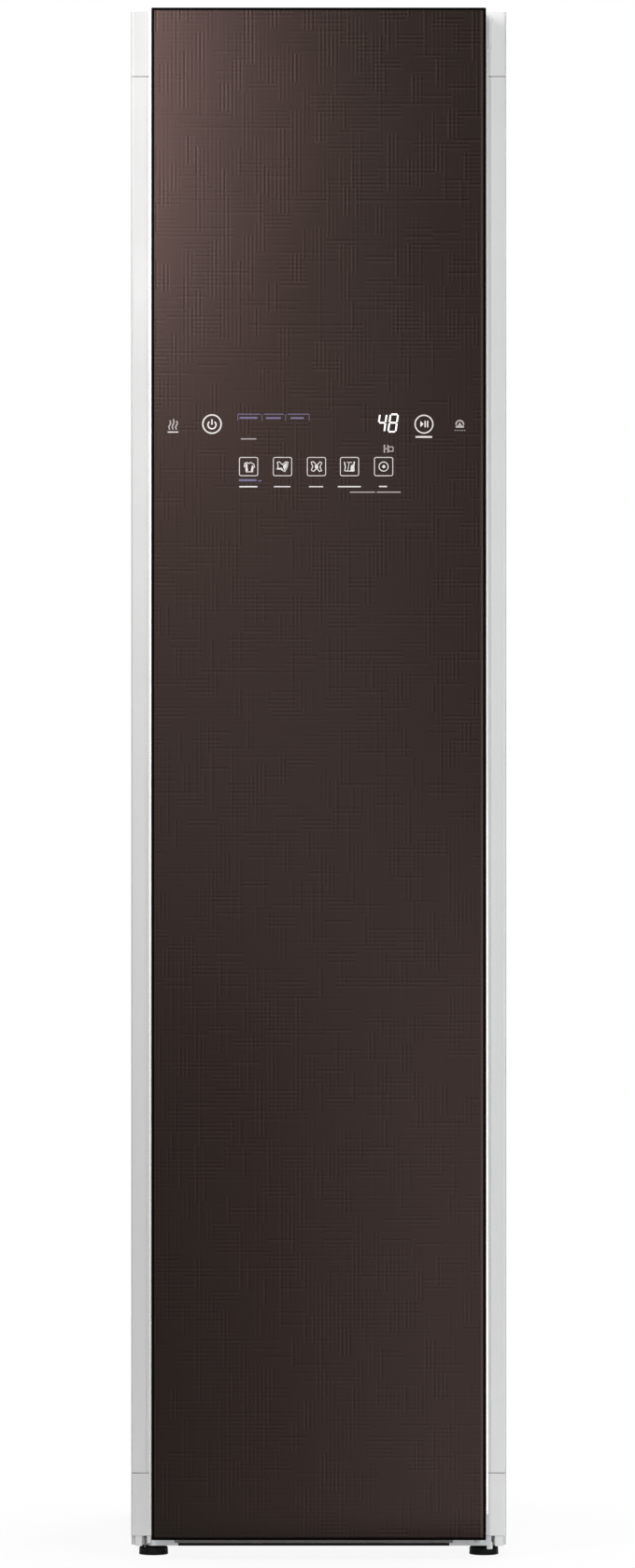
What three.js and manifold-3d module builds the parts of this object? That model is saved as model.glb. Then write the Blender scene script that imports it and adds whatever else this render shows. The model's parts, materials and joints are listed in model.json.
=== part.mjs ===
// Clothes care steam cabinet: a tall slim cabinet with a glass door. A steam and drying chamber
// fills its middle, the shaking drive sits over the ceiling, and the water tanks, the heat pump,
// the blower and the steam generator share its base. Millimetres, +Z up, the front faces -Y, and
// the origin lies on the floor under the centre of the cabinet.
import * as THREE from "three";
import { mergeVertices } from "three/addons/utils/BufferGeometryUtils.js";
import Module from "manifold-3d";

const wasm = await Module();
wasm.setup();

// Whole cabinet
const cabinetWidth = 450;
const cabinetDepth = 585;
const cabinetHeight = 1850;
const baseClearance = 12;
const sheet = 2;
const seat = 0.3;
const cutOverrun = 1;
const arcSegments = 2;
const eyeSegments = 6;
const roundSegments = 16;
const rodSides = 12;
const pinSides = 10;
const fluteSides = 6;

// Door
const doorThickness = 45;
const doorGap = 7.5;
const doorLift = 12;
const glassThickness = 4;
const glassBevel = 1;
const glassOverhang = 1;
const doorWall = 6;
const doorBackSkin = 4;
const plugInset = 26;
const plugHeight = 14;
const plugWall = 3;
const plugCorner = 12;
const gripLength = 420;
const gripDepth = 14;
const gripMouth = 18;
const gripHeight = 1050;
const gasketWidth = 9;
const gasketSqueeze = 0.5;
const boardThickness = 4;
const boardSideInset = 27.5;
const boardHeight = 120;
const boardCentreZ = 1322;

// Door hinges
const hingeInset = 6.5;
const hingePinRadius = 4;
const hingePinClearance = 0.3;
const hingeArmRadius = 7;
const hingeArmThickness = 4;
const hingePinLength = 24;
const hingePlateHalf = 14;
const hingePlateHeight = 34;
const pocketClearance = 2;
const pocketSideClearance = 3.5;

// Front pillars and frames
const pillarWidth = 22;
const pillarThickness = 12;
const pillarCorner = 3;
const upperFrameHeight = 77;
const lowerFrameHeight = 75;
const flangeReveal = 3.5;
const seamGap = 0.6;

// Side, top and back sheets
const frontFlange = 19.5;
const backFlange = 14;
const sideCorner = 5;
const topThickness = 6;
const topRecess = 1.5;
const topBorder = 18;
const ribWidth = 26;
const ribDepth = 3;
const ribInset = 70;
const louvreCount = 5;
const louvreWidth = 150;
const louvreHeight = 5;
const louvrePitch = 14;
const louvreBottom = 120;

// Chamber liner
const chamberSideGap = 43;
const chamberFloor = 321;
const chamberTopGap = 90;
const chamberBackInset = 33.5;
const linerWall = 3;
const chamberCorner = 16;
const ledgeHeight = 8;
const ledgeDepth = 6;
const ledgeZ = 470;
const wallRibCount = 3;
const wallRibWidth = 14;
const wallRibRaise = 1.5;

// Levelling feet
const footRadius = 17.5;
const footHeight = 9;
const footInset = 26.5;
const footSetback = 22;
const footChamfer = 2;
const stemRadius = 5;
const stemTop = 46;
const stemClearance = 0.3;
const footNeck = 9;

// Base frame
const railEndGap = 1;
const railHeight = 12;
const baseRim = 30;
const baseSheet = 3;
const bossRadius = 10;
const bossHeight = 8.5;

// Water tanks and their bay
const bayInset = 4;
const bayBottom = 105;
const bayTop = 309;
const bayDepth = 150;
const bayWall = 3;
const tankGap = 3;
const tankCorner = 14;
const tankFrontInset = 8;
const tankDepth = 128;
const tankTopGap = 26;
const tankHandleWidth = 90;
const tankHandleHeight = 34;
const tankHandleDepth = 18;
const capRadius = 22;
const capHeight = 12;
const capRise = 6;
const capFlutes = 8;

// Materials
const steelGrey = new THREE.MeshStandardMaterial({ color: 0xd9d9d8, roughness: 0.45, metalness: 0.1 });
const pillarGrey = new THREE.MeshStandardMaterial({ color: 0xe2e2e1, roughness: 0.35, metalness: 0.1 });
const galvanised = new THREE.MeshStandardMaterial({ color: 0xb4b7b9, roughness: 0.45, metalness: 0.8 });
const darkGlass = new THREE.MeshStandardMaterial({ color: 0x382b2a, roughness: 0.12, metalness: 0.0 });
const darkPlastic = new THREE.MeshStandardMaterial({ color: 0x2a2829, roughness: 0.5, metalness: 0.0 });
const linerWhite = new THREE.MeshStandardMaterial({ color: 0xeeeeec, roughness: 0.5, metalness: 0.0 });
const palePlastic = new THREE.MeshStandardMaterial({ color: 0xdcdddb, roughness: 0.5, metalness: 0.0 });
const greyPlastic = new THREE.MeshStandardMaterial({ color: 0x8d9193, roughness: 0.55, metalness: 0.0 });
const blackRubber = new THREE.MeshStandardMaterial({ color: 0x1b1b1c, roughness: 0.85, metalness: 0.0 });
const greyRubber = new THREE.MeshStandardMaterial({ color: 0xa9abab, roughness: 0.8, metalness: 0.0 });
const tankPlastic = new THREE.MeshStandardMaterial({ color: 0x9fb4c2, roughness: 0.25, metalness: 0.0 });
const brightSteel = new THREE.MeshStandardMaterial({ color: 0xc4c6c8, roughness: 0.25, metalness: 0.95 });
const copper = new THREE.MeshStandardMaterial({ color: 0xb8734a, roughness: 0.35, metalness: 0.95 });
const blackPaint = new THREE.MeshStandardMaterial({ color: 0x242527, roughness: 0.4, metalness: 0.3 });
const aluminium = new THREE.MeshStandardMaterial({ color: 0xc9cccf, roughness: 0.4, metalness: 0.9 });
const boardGreen = new THREE.MeshStandardMaterial({ color: 0x1f4a33, roughness: 0.6, metalness: 0.0 });
const lampLensWhite = new THREE.MeshStandardMaterial({ color: 0xfaf7ee, roughness: 0.3, metalness: 0.0 });
const pressFabric = new THREE.MeshStandardMaterial({ color: 0xb9bbb8, roughness: 0.9, metalness: 0.0 });

// Planes that the pieces share
const halfWidth = cabinetWidth / 2;
const frontY = -cabinetDepth / 2;
const backY = cabinetDepth / 2;
const doorBackY = frontY + doorThickness;
const faceY = doorBackY + doorGap;
const pillarBackY = faceY + pillarThickness;
const backSkinY = backY - sheet;
const doorHalf = halfWidth - pillarWidth - flangeReveal;
const doorBottom = baseClearance + doorLift;
const chamberHalfWidth = halfWidth - chamberSideGap;
const chamberCeiling = cabinetHeight - chamberTopGap;
const railHalfWidth = halfWidth - frontFlange - railEndGap;
const bayHalfWidth = chamberHalfWidth - bayInset;
const boardHalfWidth = doorHalf - boardSideInset;
const doorTop = cabinetHeight;
const frameBottom = doorBottom;
const flangeHalf = halfWidth - pillarWidth;
const pillarBottom = frameBottom + lowerFrameHeight;
const pillarTop = cabinetHeight - upperFrameHeight;
const topPlateBottom = cabinetHeight - topThickness;
const chamberBackY = backY - chamberBackInset;
const glassBackY = frontY + glassThickness;
const hingeX = doorHalf - hingeInset;
const hingeY = (frontY + doorBackY) / 2;
const liningTop = chamberCeiling + linerWall;
const liningBottom = chamberFloor - linerWall;

// A closed geometry as a solid that can be joined and cut
function solidOf(geometry) {
  const bare = geometry.index ? geometry.toNonIndexed() : geometry.clone();
  bare.deleteAttribute("normal");
  bare.deleteAttribute("uv");
  const merged = mergeVertices(bare);
  const vertProperties = merged.attributes.position.array;
  const triVerts = new Uint32Array(merged.index.array);
  return new wasm.Manifold(new wasm.Mesh({ numProp: 3, vertProperties, triVerts }));
}

// The surface of a solid as a geometry
function geometryOf(solid) {
  const mesh = solid.getMesh();
  const geometry = new THREE.BufferGeometry();
  geometry.setAttribute("position", new THREE.BufferAttribute(mesh.vertProperties, 3));
  geometry.setIndex(new THREE.BufferAttribute(mesh.triVerts, 1));
  return geometry;
}

// Several touching or crossing geometries as one
function join(...pieces) {
  return geometryOf(pieces.map(solidOf).reduce((all, next) => all.add(next)));
}

// A geometry less the others
function cut(body, ...tools) {
  return geometryOf(tools.map(solidOf).reduce((left, tool) => left.subtract(tool), solidOf(body)));
}

// A box between two values on each axis
function span([x0, x1], [y0, y1], [z0, z1]) {
  const box = new THREE.BoxGeometry(x1 - x0, y1 - y0, z1 - z0);
  return box.translate((x0 + x1) / 2, (y0 + y1) / 2, (z0 + z1) / 2);
}

// An outline from a list of points
function outline(points) {
  return new THREE.Shape(points.map(([u, v]) => new THREE.Vector2(u, v)));
}

// A rectangle with round corners between two values on each axis of its plane
function roundedOutline([u0, u1], [v0, v1], radius) {
  const shape = new THREE.Shape();
  shape.moveTo(u0 + radius, v0);
  shape.lineTo(u1 - radius, v0);
  shape.absarc(u1 - radius, v0 + radius, radius, -Math.PI / 2, 0);
  shape.lineTo(u1, v1 - radius);
  shape.absarc(u1 - radius, v1 - radius, radius, 0, Math.PI / 2);
  shape.lineTo(u0 + radius, v1);
  shape.absarc(u0 + radius, v1 - radius, radius, Math.PI / 2, Math.PI);
  shape.lineTo(u0, v0 + radius);
  shape.absarc(u0 + radius, v0 + radius, radius, Math.PI, (3 * Math.PI) / 2);
  return shape;
}

const unitX = new THREE.Vector3(1, 0, 0);
const unitY = new THREE.Vector3(0, 1, 0);
const unitZ = new THREE.Vector3(0, 0, 1);

// An outline raised along Z
function raise(shape, [z0, z1], curveSegments = arcSegments) {
  const settings = { depth: z1 - z0, bevelEnabled: false, curveSegments };
  return new THREE.ExtrudeGeometry(shape, settings).translate(0, 0, z0);
}

// An outline drawn in X and Z, run along Y
function runBack(shape, [y0, y1], curveSegments = arcSegments) {
  const settings = { depth: y1 - y0, bevelEnabled: false, curveSegments };
  const turn = new THREE.Matrix4().makeBasis(unitX, unitZ, unitY.clone().negate());
  return new THREE.ExtrudeGeometry(shape, settings).applyMatrix4(turn).translate(0, y1, 0);
}

// An outline drawn in Y and Z, run along X
function runAcross(shape, [x0, x1], curveSegments = arcSegments) {
  const settings = { depth: x1 - x0, bevelEnabled: false, curveSegments };
  const turn = new THREE.Matrix4().makeBasis(unitY, unitZ, unitX);
  return new THREE.ExtrudeGeometry(shape, settings).applyMatrix4(turn).translate(x0, 0, 0);
}

// A profile of radii and heights turned about an upright axis
function turned(profile, [x, y], sides = roundSegments) {
  const points = profile.map(([radius, height]) => new THREE.Vector2(radius, height));
  return new THREE.LatheGeometry(points, sides).rotateX(Math.PI / 2).translate(x, y, 0);
}

// A profile of radii and heights turned about an axis along Y, its heights running back
function turnedBack(profile, [x, z], sides = roundSegments) {
  const points = profile.map(([radius, height]) => new THREE.Vector2(radius, height));
  return new THREE.LatheGeometry(points, sides).translate(x, 0, z);
}

// A profile of radii and heights turned about an axis along X
function turnedAcross(profile, [y, z], sides = roundSegments) {
  const points = profile.map(([radius, height]) => new THREE.Vector2(radius, height));
  return new THREE.LatheGeometry(points, sides).rotateZ(-Math.PI / 2).translate(0, y, z);
}

// A plain upright rod
function post(radius, [x, y], [z0, z1], sides = roundSegments) {
  return turned([[0, z0], [radius, z0], [radius, z1], [0, z1]], [x, y], sides);
}

// A rod along Y
function rodBack(radius, [x, z], [y0, y1], sides = roundSegments) {
  return turnedBack([[0, y0], [radius, y0], [radius, y1], [0, y1]], [x, z], sides);
}

// A rod along X
function rodAcross(radius, [y, z], [x0, x1], sides = roundSegments) {
  return turnedAcross([[0, x0], [radius, x0], [radius, x1], [0, x1]], [y, z], sides);
}

// A round bar bent along points
function bentBar(points, radius, steps, sides) {
  const path = new THREE.CatmullRomCurve3(points.map((at) => new THREE.Vector3(...at)), false, "centripetal");
  const section = new THREE.Shape().absarc(0, 0, radius, 0, 2 * Math.PI);
  return new THREE.ExtrudeGeometry(section, { steps, extrudePath: path, curveSegments: sides });
}

// Side panel: a steel sheet bent back at the front and at the rear, with a rounded front corner
function sidePanel(side) {
  const outer = side * halfWidth;
  const inner = side * (halfWidth - sheet);
  const frontEnd = side * (halfWidth - frontFlange);
  const rearEnd = side * (halfWidth - backFlange);
  const y0 = pillarBackY;
  const y1 = backSkinY;
  const corner = side * (halfWidth - sideCorner);
  const shape = new THREE.Shape();
  shape.moveTo(frontEnd, y0);
  shape.lineTo(corner, y0);
  shape.quadraticCurveTo(outer, y0, outer, y0 + sideCorner);
  shape.lineTo(outer, y1);
  shape.lineTo(rearEnd, y1);
  shape.lineTo(rearEnd, y1 - sheet);
  shape.lineTo(inner, y1 - sheet);
  shape.lineTo(inner, y0 + sideCorner);
  shape.quadraticCurveTo(inner, y0 + sheet, corner, y0 + sheet);
  shape.lineTo(frontEnd, y0 + sheet);
  shape.closePath();
  return raise(shape, [baseClearance, topPlateBottom]);
}

// Front pillar: a long strip with a rounded outer edge and a fine lengthwise step
function frontPillar(side) {
  const outer = side * halfWidth;
  const inner = side * flangeHalf;
  const step = side * (flangeHalf + flangeReveal);
  const shape = new THREE.Shape();
  shape.moveTo(inner, faceY + seamGap);
  shape.lineTo(step, faceY + seamGap);
  shape.lineTo(step, faceY);
  shape.lineTo(outer - side * pillarCorner, faceY);
  shape.quadraticCurveTo(outer, faceY, outer, faceY + pillarCorner);
  shape.lineTo(outer, pillarBackY);
  shape.lineTo(inner, pillarBackY);
  shape.closePath();
  return raise(shape, [pillarBottom + seamGap, pillarTop - seamGap]);
}

// Upper or lower front frame: a plate across the whole front with rounded outer edges
function frontFrame(z0, z1) {
  const shape = new THREE.Shape();
  shape.moveTo(-halfWidth + pillarCorner, faceY);
  shape.lineTo(halfWidth - pillarCorner, faceY);
  shape.quadraticCurveTo(halfWidth, faceY, halfWidth, faceY + pillarCorner);
  shape.lineTo(halfWidth, pillarBackY);
  shape.lineTo(-halfWidth, pillarBackY);
  shape.lineTo(-halfWidth, faceY + pillarCorner);
  shape.quadraticCurveTo(-halfWidth, faceY, -halfWidth + pillarCorner, faceY);
  return raise(shape, [z0, z1]);
}

// Top cover: a plate with round rear corners and a shallow pressed field
function topCover() {
  const plate = span([-halfWidth, halfWidth], [pillarBackY, backY], [topPlateBottom, cabinetHeight]);
  const field = roundedOutline(
    [-halfWidth + topBorder, halfWidth - topBorder],
    [pillarBackY + topBorder, backY - topBorder],
    topBorder,
  );
  return cut(plate, raise(field, [cabinetHeight - topRecess, cabinetHeight + cutOverrun]));
}

// Back panel: a sheet with two pressed upright ribs, a louvred vent and the hole of the power inlet
const inletRadius = 14;
const inletSideInset = 75;
const inletX = halfWidth - inletSideInset;
const inletZ = 70;
function backPanel() {
  const plate = span([-halfWidth, halfWidth], [backSkinY, backY], [baseClearance, topPlateBottom]);
  const ribs = [-1, 1].map((side) => {
    const x = side * (halfWidth - ribInset);
    const zEnds = [liningBottom + ribInset, liningTop - ribInset];
    const rib = roundedOutline([x - ribWidth / 2, x + ribWidth / 2], zEnds, ribWidth / 2 - seat);
    return runBack(rib, [backSkinY - ribDepth, backSkinY]);
  });
  const louvres = Array.from({ length: louvreCount }, (_, index) => {
    const z = louvreBottom + index * louvrePitch;
    const slot = roundedOutline([-louvreWidth / 2, louvreWidth / 2], [z, z + louvreHeight], louvreHeight / 3);
    return runBack(slot, [backSkinY - cutOverrun, backY + cutOverrun], 1);
  });
  const inlet = rodBack(inletRadius + seat, [inletX, inletZ], [backSkinY - cutOverrun, backY + cutOverrun]);
  return cut(join(plate, ...ribs), ...louvres, inlet);
}

// Power inlet: a round gland with a collar outside and a shallow blind socket
const inletCollar = 4;
const inletDepth = 22;
const inletSocketRadius = 8;
const inletSocketDepth = 14;
function cableInlet() {
  const body = turnedBack(
    [
      [0, backSkinY - inletDepth],
      [inletRadius, backSkinY - inletDepth],
      [inletRadius, backSkinY - seat - inletCollar],
      [inletRadius + inletCollar, backSkinY - seat - inletCollar],
      [inletRadius + inletCollar, backSkinY - seat],
      [inletRadius, backSkinY - seat],
      [inletRadius, backY],
      [0, backY],
    ],
    [inletX, inletZ],
  );
  const socket = rodBack(inletSocketRadius, [inletX, inletZ], [backY - inletSocketDepth, backY + cutOverrun]);
  return cut(body, socket);
}

// Places of the four levelling feet
const footX = halfWidth - footInset;
const footFrontY = faceY + footSetback;
const footBackY = backSkinY - footSetback - footSetback / 2;

// Base frame: a tray with raised rims, a rail along the front and four bosses for the feet
function baseFrame() {
  const z0 = baseClearance;
  const floor = z0 + baseSheet;
  const x = halfWidth - sheet - seat;
  const y0 = pillarBackY + sideCorner + seat;
  const y1 = backSkinY - sheet - seat;
  const plate = span([-x, x], [y0, y1], [z0, floor]);
  const rims = [
    span([-x, baseSheet - x], [y0, y1 - sheet], [z0, z0 + baseRim]),
    span([x - baseSheet, x], [y0, y1 - sheet], [z0, z0 + baseRim]),
    span([-railHalfWidth, railHalfWidth], [y1 - baseSheet, y1], [z0, z0 + baseRim]),
  ];
  const rail = roundedOutline([-railHalfWidth, railHalfWidth], [faceY + sheet, y0 + footSetback], sideCorner);
  const front = raise(rail, [z0, z0 + railHeight - seat]);
  const places = [-1, 1].flatMap((side) => [[side * footX, footFrontY], [side * footX, footBackY]]);
  const bosses = places.map((at) => post(bossRadius, at, [z0, floor + bossHeight], pinSides));
  const holes = places.map((at) => post(stemRadius + stemClearance, at, [z0 - cutOverrun, stemTop], pinSides));
  return cut(join(plate, ...rims, front, ...bosses), ...holes);
}

// Levelling foot: a chamfered disc, a neck and a stem that screws into its boss
function levellingFoot(at) {
  const neckTop = baseClearance - seat;
  return turned(
    [
      [0, 0],
      [footRadius - footChamfer / 2, 0],
      [footRadius, footChamfer / 2],
      [footRadius, footHeight - footChamfer],
      [footRadius - footChamfer, footHeight],
      [footNeck, footHeight],
      [footNeck, neckTop],
      [stemRadius, neckTop],
      [stemRadius, stemTop - footChamfer],
      [stemRadius - footChamfer / 2, stemTop],
      [0, stemTop],
    ],
    at,
  );
}

// Openings of the liner's floor and ceiling
const filterSideGap = 35;
const filterNearX = 23;
const filterHalfWidth = (chamberHalfWidth - filterSideGap - filterNearX) / 2;
const filterX = -filterNearX - filterHalfWidth;
const filterFrontGap = 158;
const filterDepth = 40;
const filterY = [faceY + filterFrontGap, faceY + filterFrontGap + filterDepth];
const scentX = [30, 100];
const scentLength = 48;
const scentY = [filterY[0], filterY[0] + scentLength];
const wellDepth = 78;
const wellWall = 2;
const nozzleSideGap = 87;
const nozzleBackGap = 69;
const nozzleX = nozzleSideGap - chamberHalfWidth;
const nozzleY = chamberBackY - nozzleBackGap;
const nozzleRadius = 24;
const strutSideGap = 112;
const strutX = chamberHalfWidth - strutSideGap;
const strutHalf = 6;
const strutY = 10;
const strutReach = 4;
const shakeStroke = 20;
const slotClearance = 3;

// Blower scroll, whose outlet stands under the liner's air outlet
const scrollSideInset = 130;
const scrollX = halfWidth - scrollSideInset;
const scrollZ = 142;
const scrollStart = 54;
const scrollEnd = 80;
const scrollBackGap = 125.5;
const scrollDepth = 64;
const scrollY = [backSkinY - scrollBackGap, backSkinY - scrollBackGap + scrollDepth];
const scrollWall = 3;
const scrollSteps = 20;
const tongueAngle = Math.PI / 3;

// Ceiling slots that the hanger's struts shake in
function strutSlots([z0, z1], clearance) {
  return [-1, 1].map((side) => {
    const half = strutHalf + shakeStroke + clearance;
    const x = [side * strutX - half, side * strutX + half];
    const y = [strutY - strutReach - clearance, strutY + strutReach + clearance];
    return raise(roundedOutline(x, y, clearance), [z0, z1]);
  });
}

// Chamber liner: a moulded box open to the front, with a wide flange, shelf ledges, raised wall ribs
// and the openings for filter, scent holder, steam, air and hanger struts
function innerLiner() {
  const flangeEnds = [pillarBottom + seamGap, pillarTop - seamGap];
  const flange = span([-flangeHalf, flangeHalf], [faceY, faceY + linerWall], flangeEnds);
  const wideHalf = chamberHalfWidth + linerWall;
  const front = faceY - chamberCorner - cutOverrun;
  const shell = span([-wideHalf, wideHalf], [faceY, chamberBackY + linerWall], [liningBottom, liningTop]);
  const inside = raise(
    roundedOutline([-chamberHalfWidth, chamberHalfWidth], [front, chamberBackY], chamberCorner),
    [chamberFloor, chamberCeiling],
  );
  const ledges = [-1, 1].map((side) => {
    const wall = side * (chamberHalfWidth + linerWall / 2);
    const edge = side * (chamberHalfWidth - ledgeDepth);
    const rise = ledgeHeight / 2;
    const inner = [[wall, ledgeZ - ledgeHeight - rise], [edge, ledgeZ - rise], [edge, ledgeZ], [wall, ledgeZ]];
    const points = side > 0 ? inner.slice().reverse() : inner;
    return runBack(outline(points), [faceY + plugInset * 2, chamberBackY - chamberCorner * 2]);
  });
  const ribPitch = (2 * (chamberHalfWidth - chamberCorner)) / wallRibCount;
  const ribs = Array.from({ length: wallRibCount }, (_, index) => {
    const x = (index - (wallRibCount - 1) / 2) * ribPitch;
    const ends = [ledgeZ + ribInset * 2, chamberCeiling - ribInset * 2];
    const shape = roundedOutline([x - wallRibWidth / 2, x + wallRibWidth / 2], ends, wallRibWidth / 2 - seat);
    return runBack(shape, [chamberBackY - wallRibRaise, chamberBackY + linerWall / 2]);
  });
  const below = [liningBottom - cutOverrun, chamberFloor + cutOverrun];
  const above = [chamberCeiling - cutOverrun, liningTop + cutOverrun];
  const bay = span([-bayHalfWidth, bayHalfWidth], [faceY - cutOverrun, faceY + linerWall * 2], [bayBottom, bayTop]);
  const filterSpan = [filterX - filterHalfWidth, filterX + filterHalfWidth];
  const wellSpan = [filterSpan[0] - wellWall, filterSpan[1] + wellWall];
  const wellEnds = [filterY[0] - wellWall, filterY[1] + wellWall];
  const well = span(wellSpan, wellEnds, [chamberFloor - wellDepth, chamberFloor]);
  const throughWell = [chamberFloor - wellDepth - cutOverrun, chamberFloor + cutOverrun];
  return cut(
    join(cut(join(flange, shell, well), inside), ...ledges, ...ribs),
    bay,
    span(filterSpan, filterY, throughWell),
    span(scentX, scentY, below),
    post(nozzleRadius, [nozzleX, nozzleY], below),
    span(outletMouthX(scrollWall), [scrollY[0] + scrollWall, scrollY[1] - scrollWall], below),
    ...strutSlots(above, slotClearance),
  );
}

// Ceiling cover: a panel under the chamber's ceiling with strut slots and a window for the lamp
const ceilingInset = 14;
const ceilingFrontGap = 70;
const ceilingBackGap = 69;
const ceilingHalfWidth = chamberHalfWidth - ceilingInset;
const ceilingY = [faceY + ceilingFrontGap, chamberBackY - ceilingBackGap];
const ceilingThickness = 7;
const lampHalfWidth = 60;
const lampFrontGap = 20;
const lampLength = 40;
const lampY = [ceilingY[0] + lampFrontGap, ceilingY[0] + lampFrontGap + lampLength];
const lampCorner = 6;
const lampDrop = 2;
function ceilingCover() {
  const ends = [chamberCeiling - ceilingThickness, chamberCeiling];
  const panel = raise(roundedOutline([-ceilingHalfWidth, ceilingHalfWidth], ceilingY, chamberCorner), ends);
  const through = [ends[0] - cutOverrun, ends[1] + cutOverrun];
  const window = raise(roundedOutline([-lampHalfWidth, lampHalfWidth], lampY, lampCorner), through);
  return cut(panel, window, ...strutSlots(through, slotClearance));
}

// Lamp lens: a domed cover that fills the window
function lampLens() {
  const inset = seat;
  const bottom = chamberCeiling - ceilingThickness - lampDrop;
  const body = roundedOutline(
    [-lampHalfWidth + inset, lampHalfWidth - inset],
    [lampY[0] + inset, lampY[1] - inset],
    lampCorner - inset,
  );
  const drop = roundedOutline(
    [-lampHalfWidth + lampCorner, lampHalfWidth - lampCorner],
    [lampY[0] + lampCorner, lampY[1] - lampCorner],
    lampCorner,
  );
  return join(raise(body, [bottom + lampDrop, chamberCeiling]), raise(drop, [bottom, bottom + lampDrop]));
}

// Tank bay: a box open to the front with a wall between the two tanks
function tankBay() {
  const half = bayHalfWidth - seat;
  const z = [bayBottom + seat, bayTop - seat];
  const y = [faceY, faceY + bayDepth];
  const pockets = [-1, 1].map((side) => {
    const x = side < 0 ? [bayWall - half, -bayWall / 2] : [bayWall / 2, half - bayWall];
    return span(x, [y[0] - cutOverrun, y[1] - bayWall], [z[0] + bayWall, z[1] - bayWall]);
  });
  return cut(span([-half, half], y, z), ...pockets);
}

// Shared places of one water tank
function tankPlace(side) {
  const near = bayWall / 2 + tankGap;
  const far = bayHalfWidth - seat - bayWall - tankGap;
  const x = side < 0 ? [-far, -near] : [near, far];
  const y = [faceY + tankFrontInset, faceY + tankFrontInset + tankDepth];
  const z = [bayBottom + seat + bayWall, bayTop - tankTopGap];
  return { x, y, z, centre: (x[0] + x[1]) / 2 };
}

// Water tank: a rounded body with a filler neck and a grip pocket that undercuts its front edge
function waterTank(side) {
  const { x, y, z, centre } = tankPlace(side);
  const body = raise(roundedOutline(x, y, tankCorner), z);
  const neck = post(capRadius - capHeight / 2, [centre, (y[0] + y[1]) / 2], [z[0], z[1] + capRise - seat]);
  const gripX = [centre - tankHandleWidth / 2, centre + tankHandleWidth / 2];
  const gripTop = z[1] - tankHandleHeight / 2;
  const mouth = roundedOutline(gripX, [gripTop - tankHandleHeight, gripTop], tankHandleHeight / 3);
  const pocket = runBack(mouth, [y[0] - cutOverrun, y[0] + tankHandleDepth]);
  const hollow = roundedOutline(
    [y[0] + tankHandleDepth / 3, y[0] + tankHandleDepth],
    [gripTop - tankHandleHeight / 2, gripTop + tankHandleHeight / 4],
    tankHandleDepth / 6,
  );
  const inset = tankHandleHeight / 3;
  return cut(join(body, neck), pocket, runAcross(hollow, [gripX[0] + inset, gripX[1] - inset]));
}

// Tank cap: a disc with finger flutes round its rim
function tankCap(side) {
  const { y, z, centre } = tankPlace(side);
  const at = [centre, (y[0] + y[1]) / 2];
  const z0 = z[1] + capRise;
  const z1 = z0 + capHeight;
  const rim = turned([[0, z0], [capRadius, z0], [capRadius, z1 - capRise / 3], [capRadius - capRise / 3, z1], [0, z1]], at);
  const flutes = Array.from({ length: capFlutes }, (_, index) => {
    const angle = (index / capFlutes) * 2 * Math.PI;
    const reach = capRadius + capRise / 6;
    const place = [at[0] + reach * Math.cos(angle), at[1] + reach * Math.sin(angle)];
    return post(capRise / 3, place, [z0 - cutOverrun, z1 + cutOverrun], fluteSides);
  });
  return cut(rim, ...flutes);
}

// Outline of the blower scroll, drawn in by an inset: a spiral that opens into an upright outlet
function scrollOutline(inset, top) {
  const turns = 2 * Math.PI - tongueAngle;
  const spiral = Array.from({ length: scrollSteps + 1 }, (_, index) => {
    const share = index / scrollSteps;
    const radius = scrollStart + (scrollEnd - scrollStart) * share - inset;
    const angle = tongueAngle + turns * share;
    return [scrollX + radius * Math.cos(angle), scrollZ + radius * Math.sin(angle)];
  });
  const [left, right] = outletMouthX(inset);
  return outline([...spiral, [right, top], [left, top]]);
}

// The outlet's two upright sides
function outletMouthX(inset) {
  const left = scrollX + scrollStart * Math.cos(tongueAngle) + inset;
  const right = scrollX + scrollEnd - inset;
  return [left, right];
}

// Blower housing: a scroll with a round inlet in front, a shaft hole behind and two feet
const inletMouthRadius = 34;
const blowerFootWidth = 16;
const blowerShaftRadius = 4;
const motorNoseRadius = 12;
function blowerHousing() {
  const top = liningBottom;
  const shell = runBack(scrollOutline(0, top), scrollY);
  const inside = scrollOutline(scrollWall, top + cutOverrun);
  const cavity = runBack(inside, [scrollY[0] + scrollWall, scrollY[1] - scrollWall]);
  const mouth = rodBack(inletMouthRadius, [scrollX, scrollZ], [scrollY[0] - cutOverrun, scrollY[0] + scrollWall * 2]);
  const back = rodBack(motorNoseRadius + seat, [scrollX, scrollZ], [scrollY[1] - scrollWall * 2, scrollY[1] + cutOverrun]);
  const feet = [-1, 1].map((side) => {
    const x = scrollX + side * (scrollStart / 2);
    return span(
      [x - blowerFootWidth / 2, x + blowerFootWidth / 2],
      [scrollY[0], scrollY[1]],
      [baseClearance + baseSheet, scrollZ - scrollStart + scrollWall],
    );
  });
  return cut(join(shell, ...feet), cavity, mouth, back);
}

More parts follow.
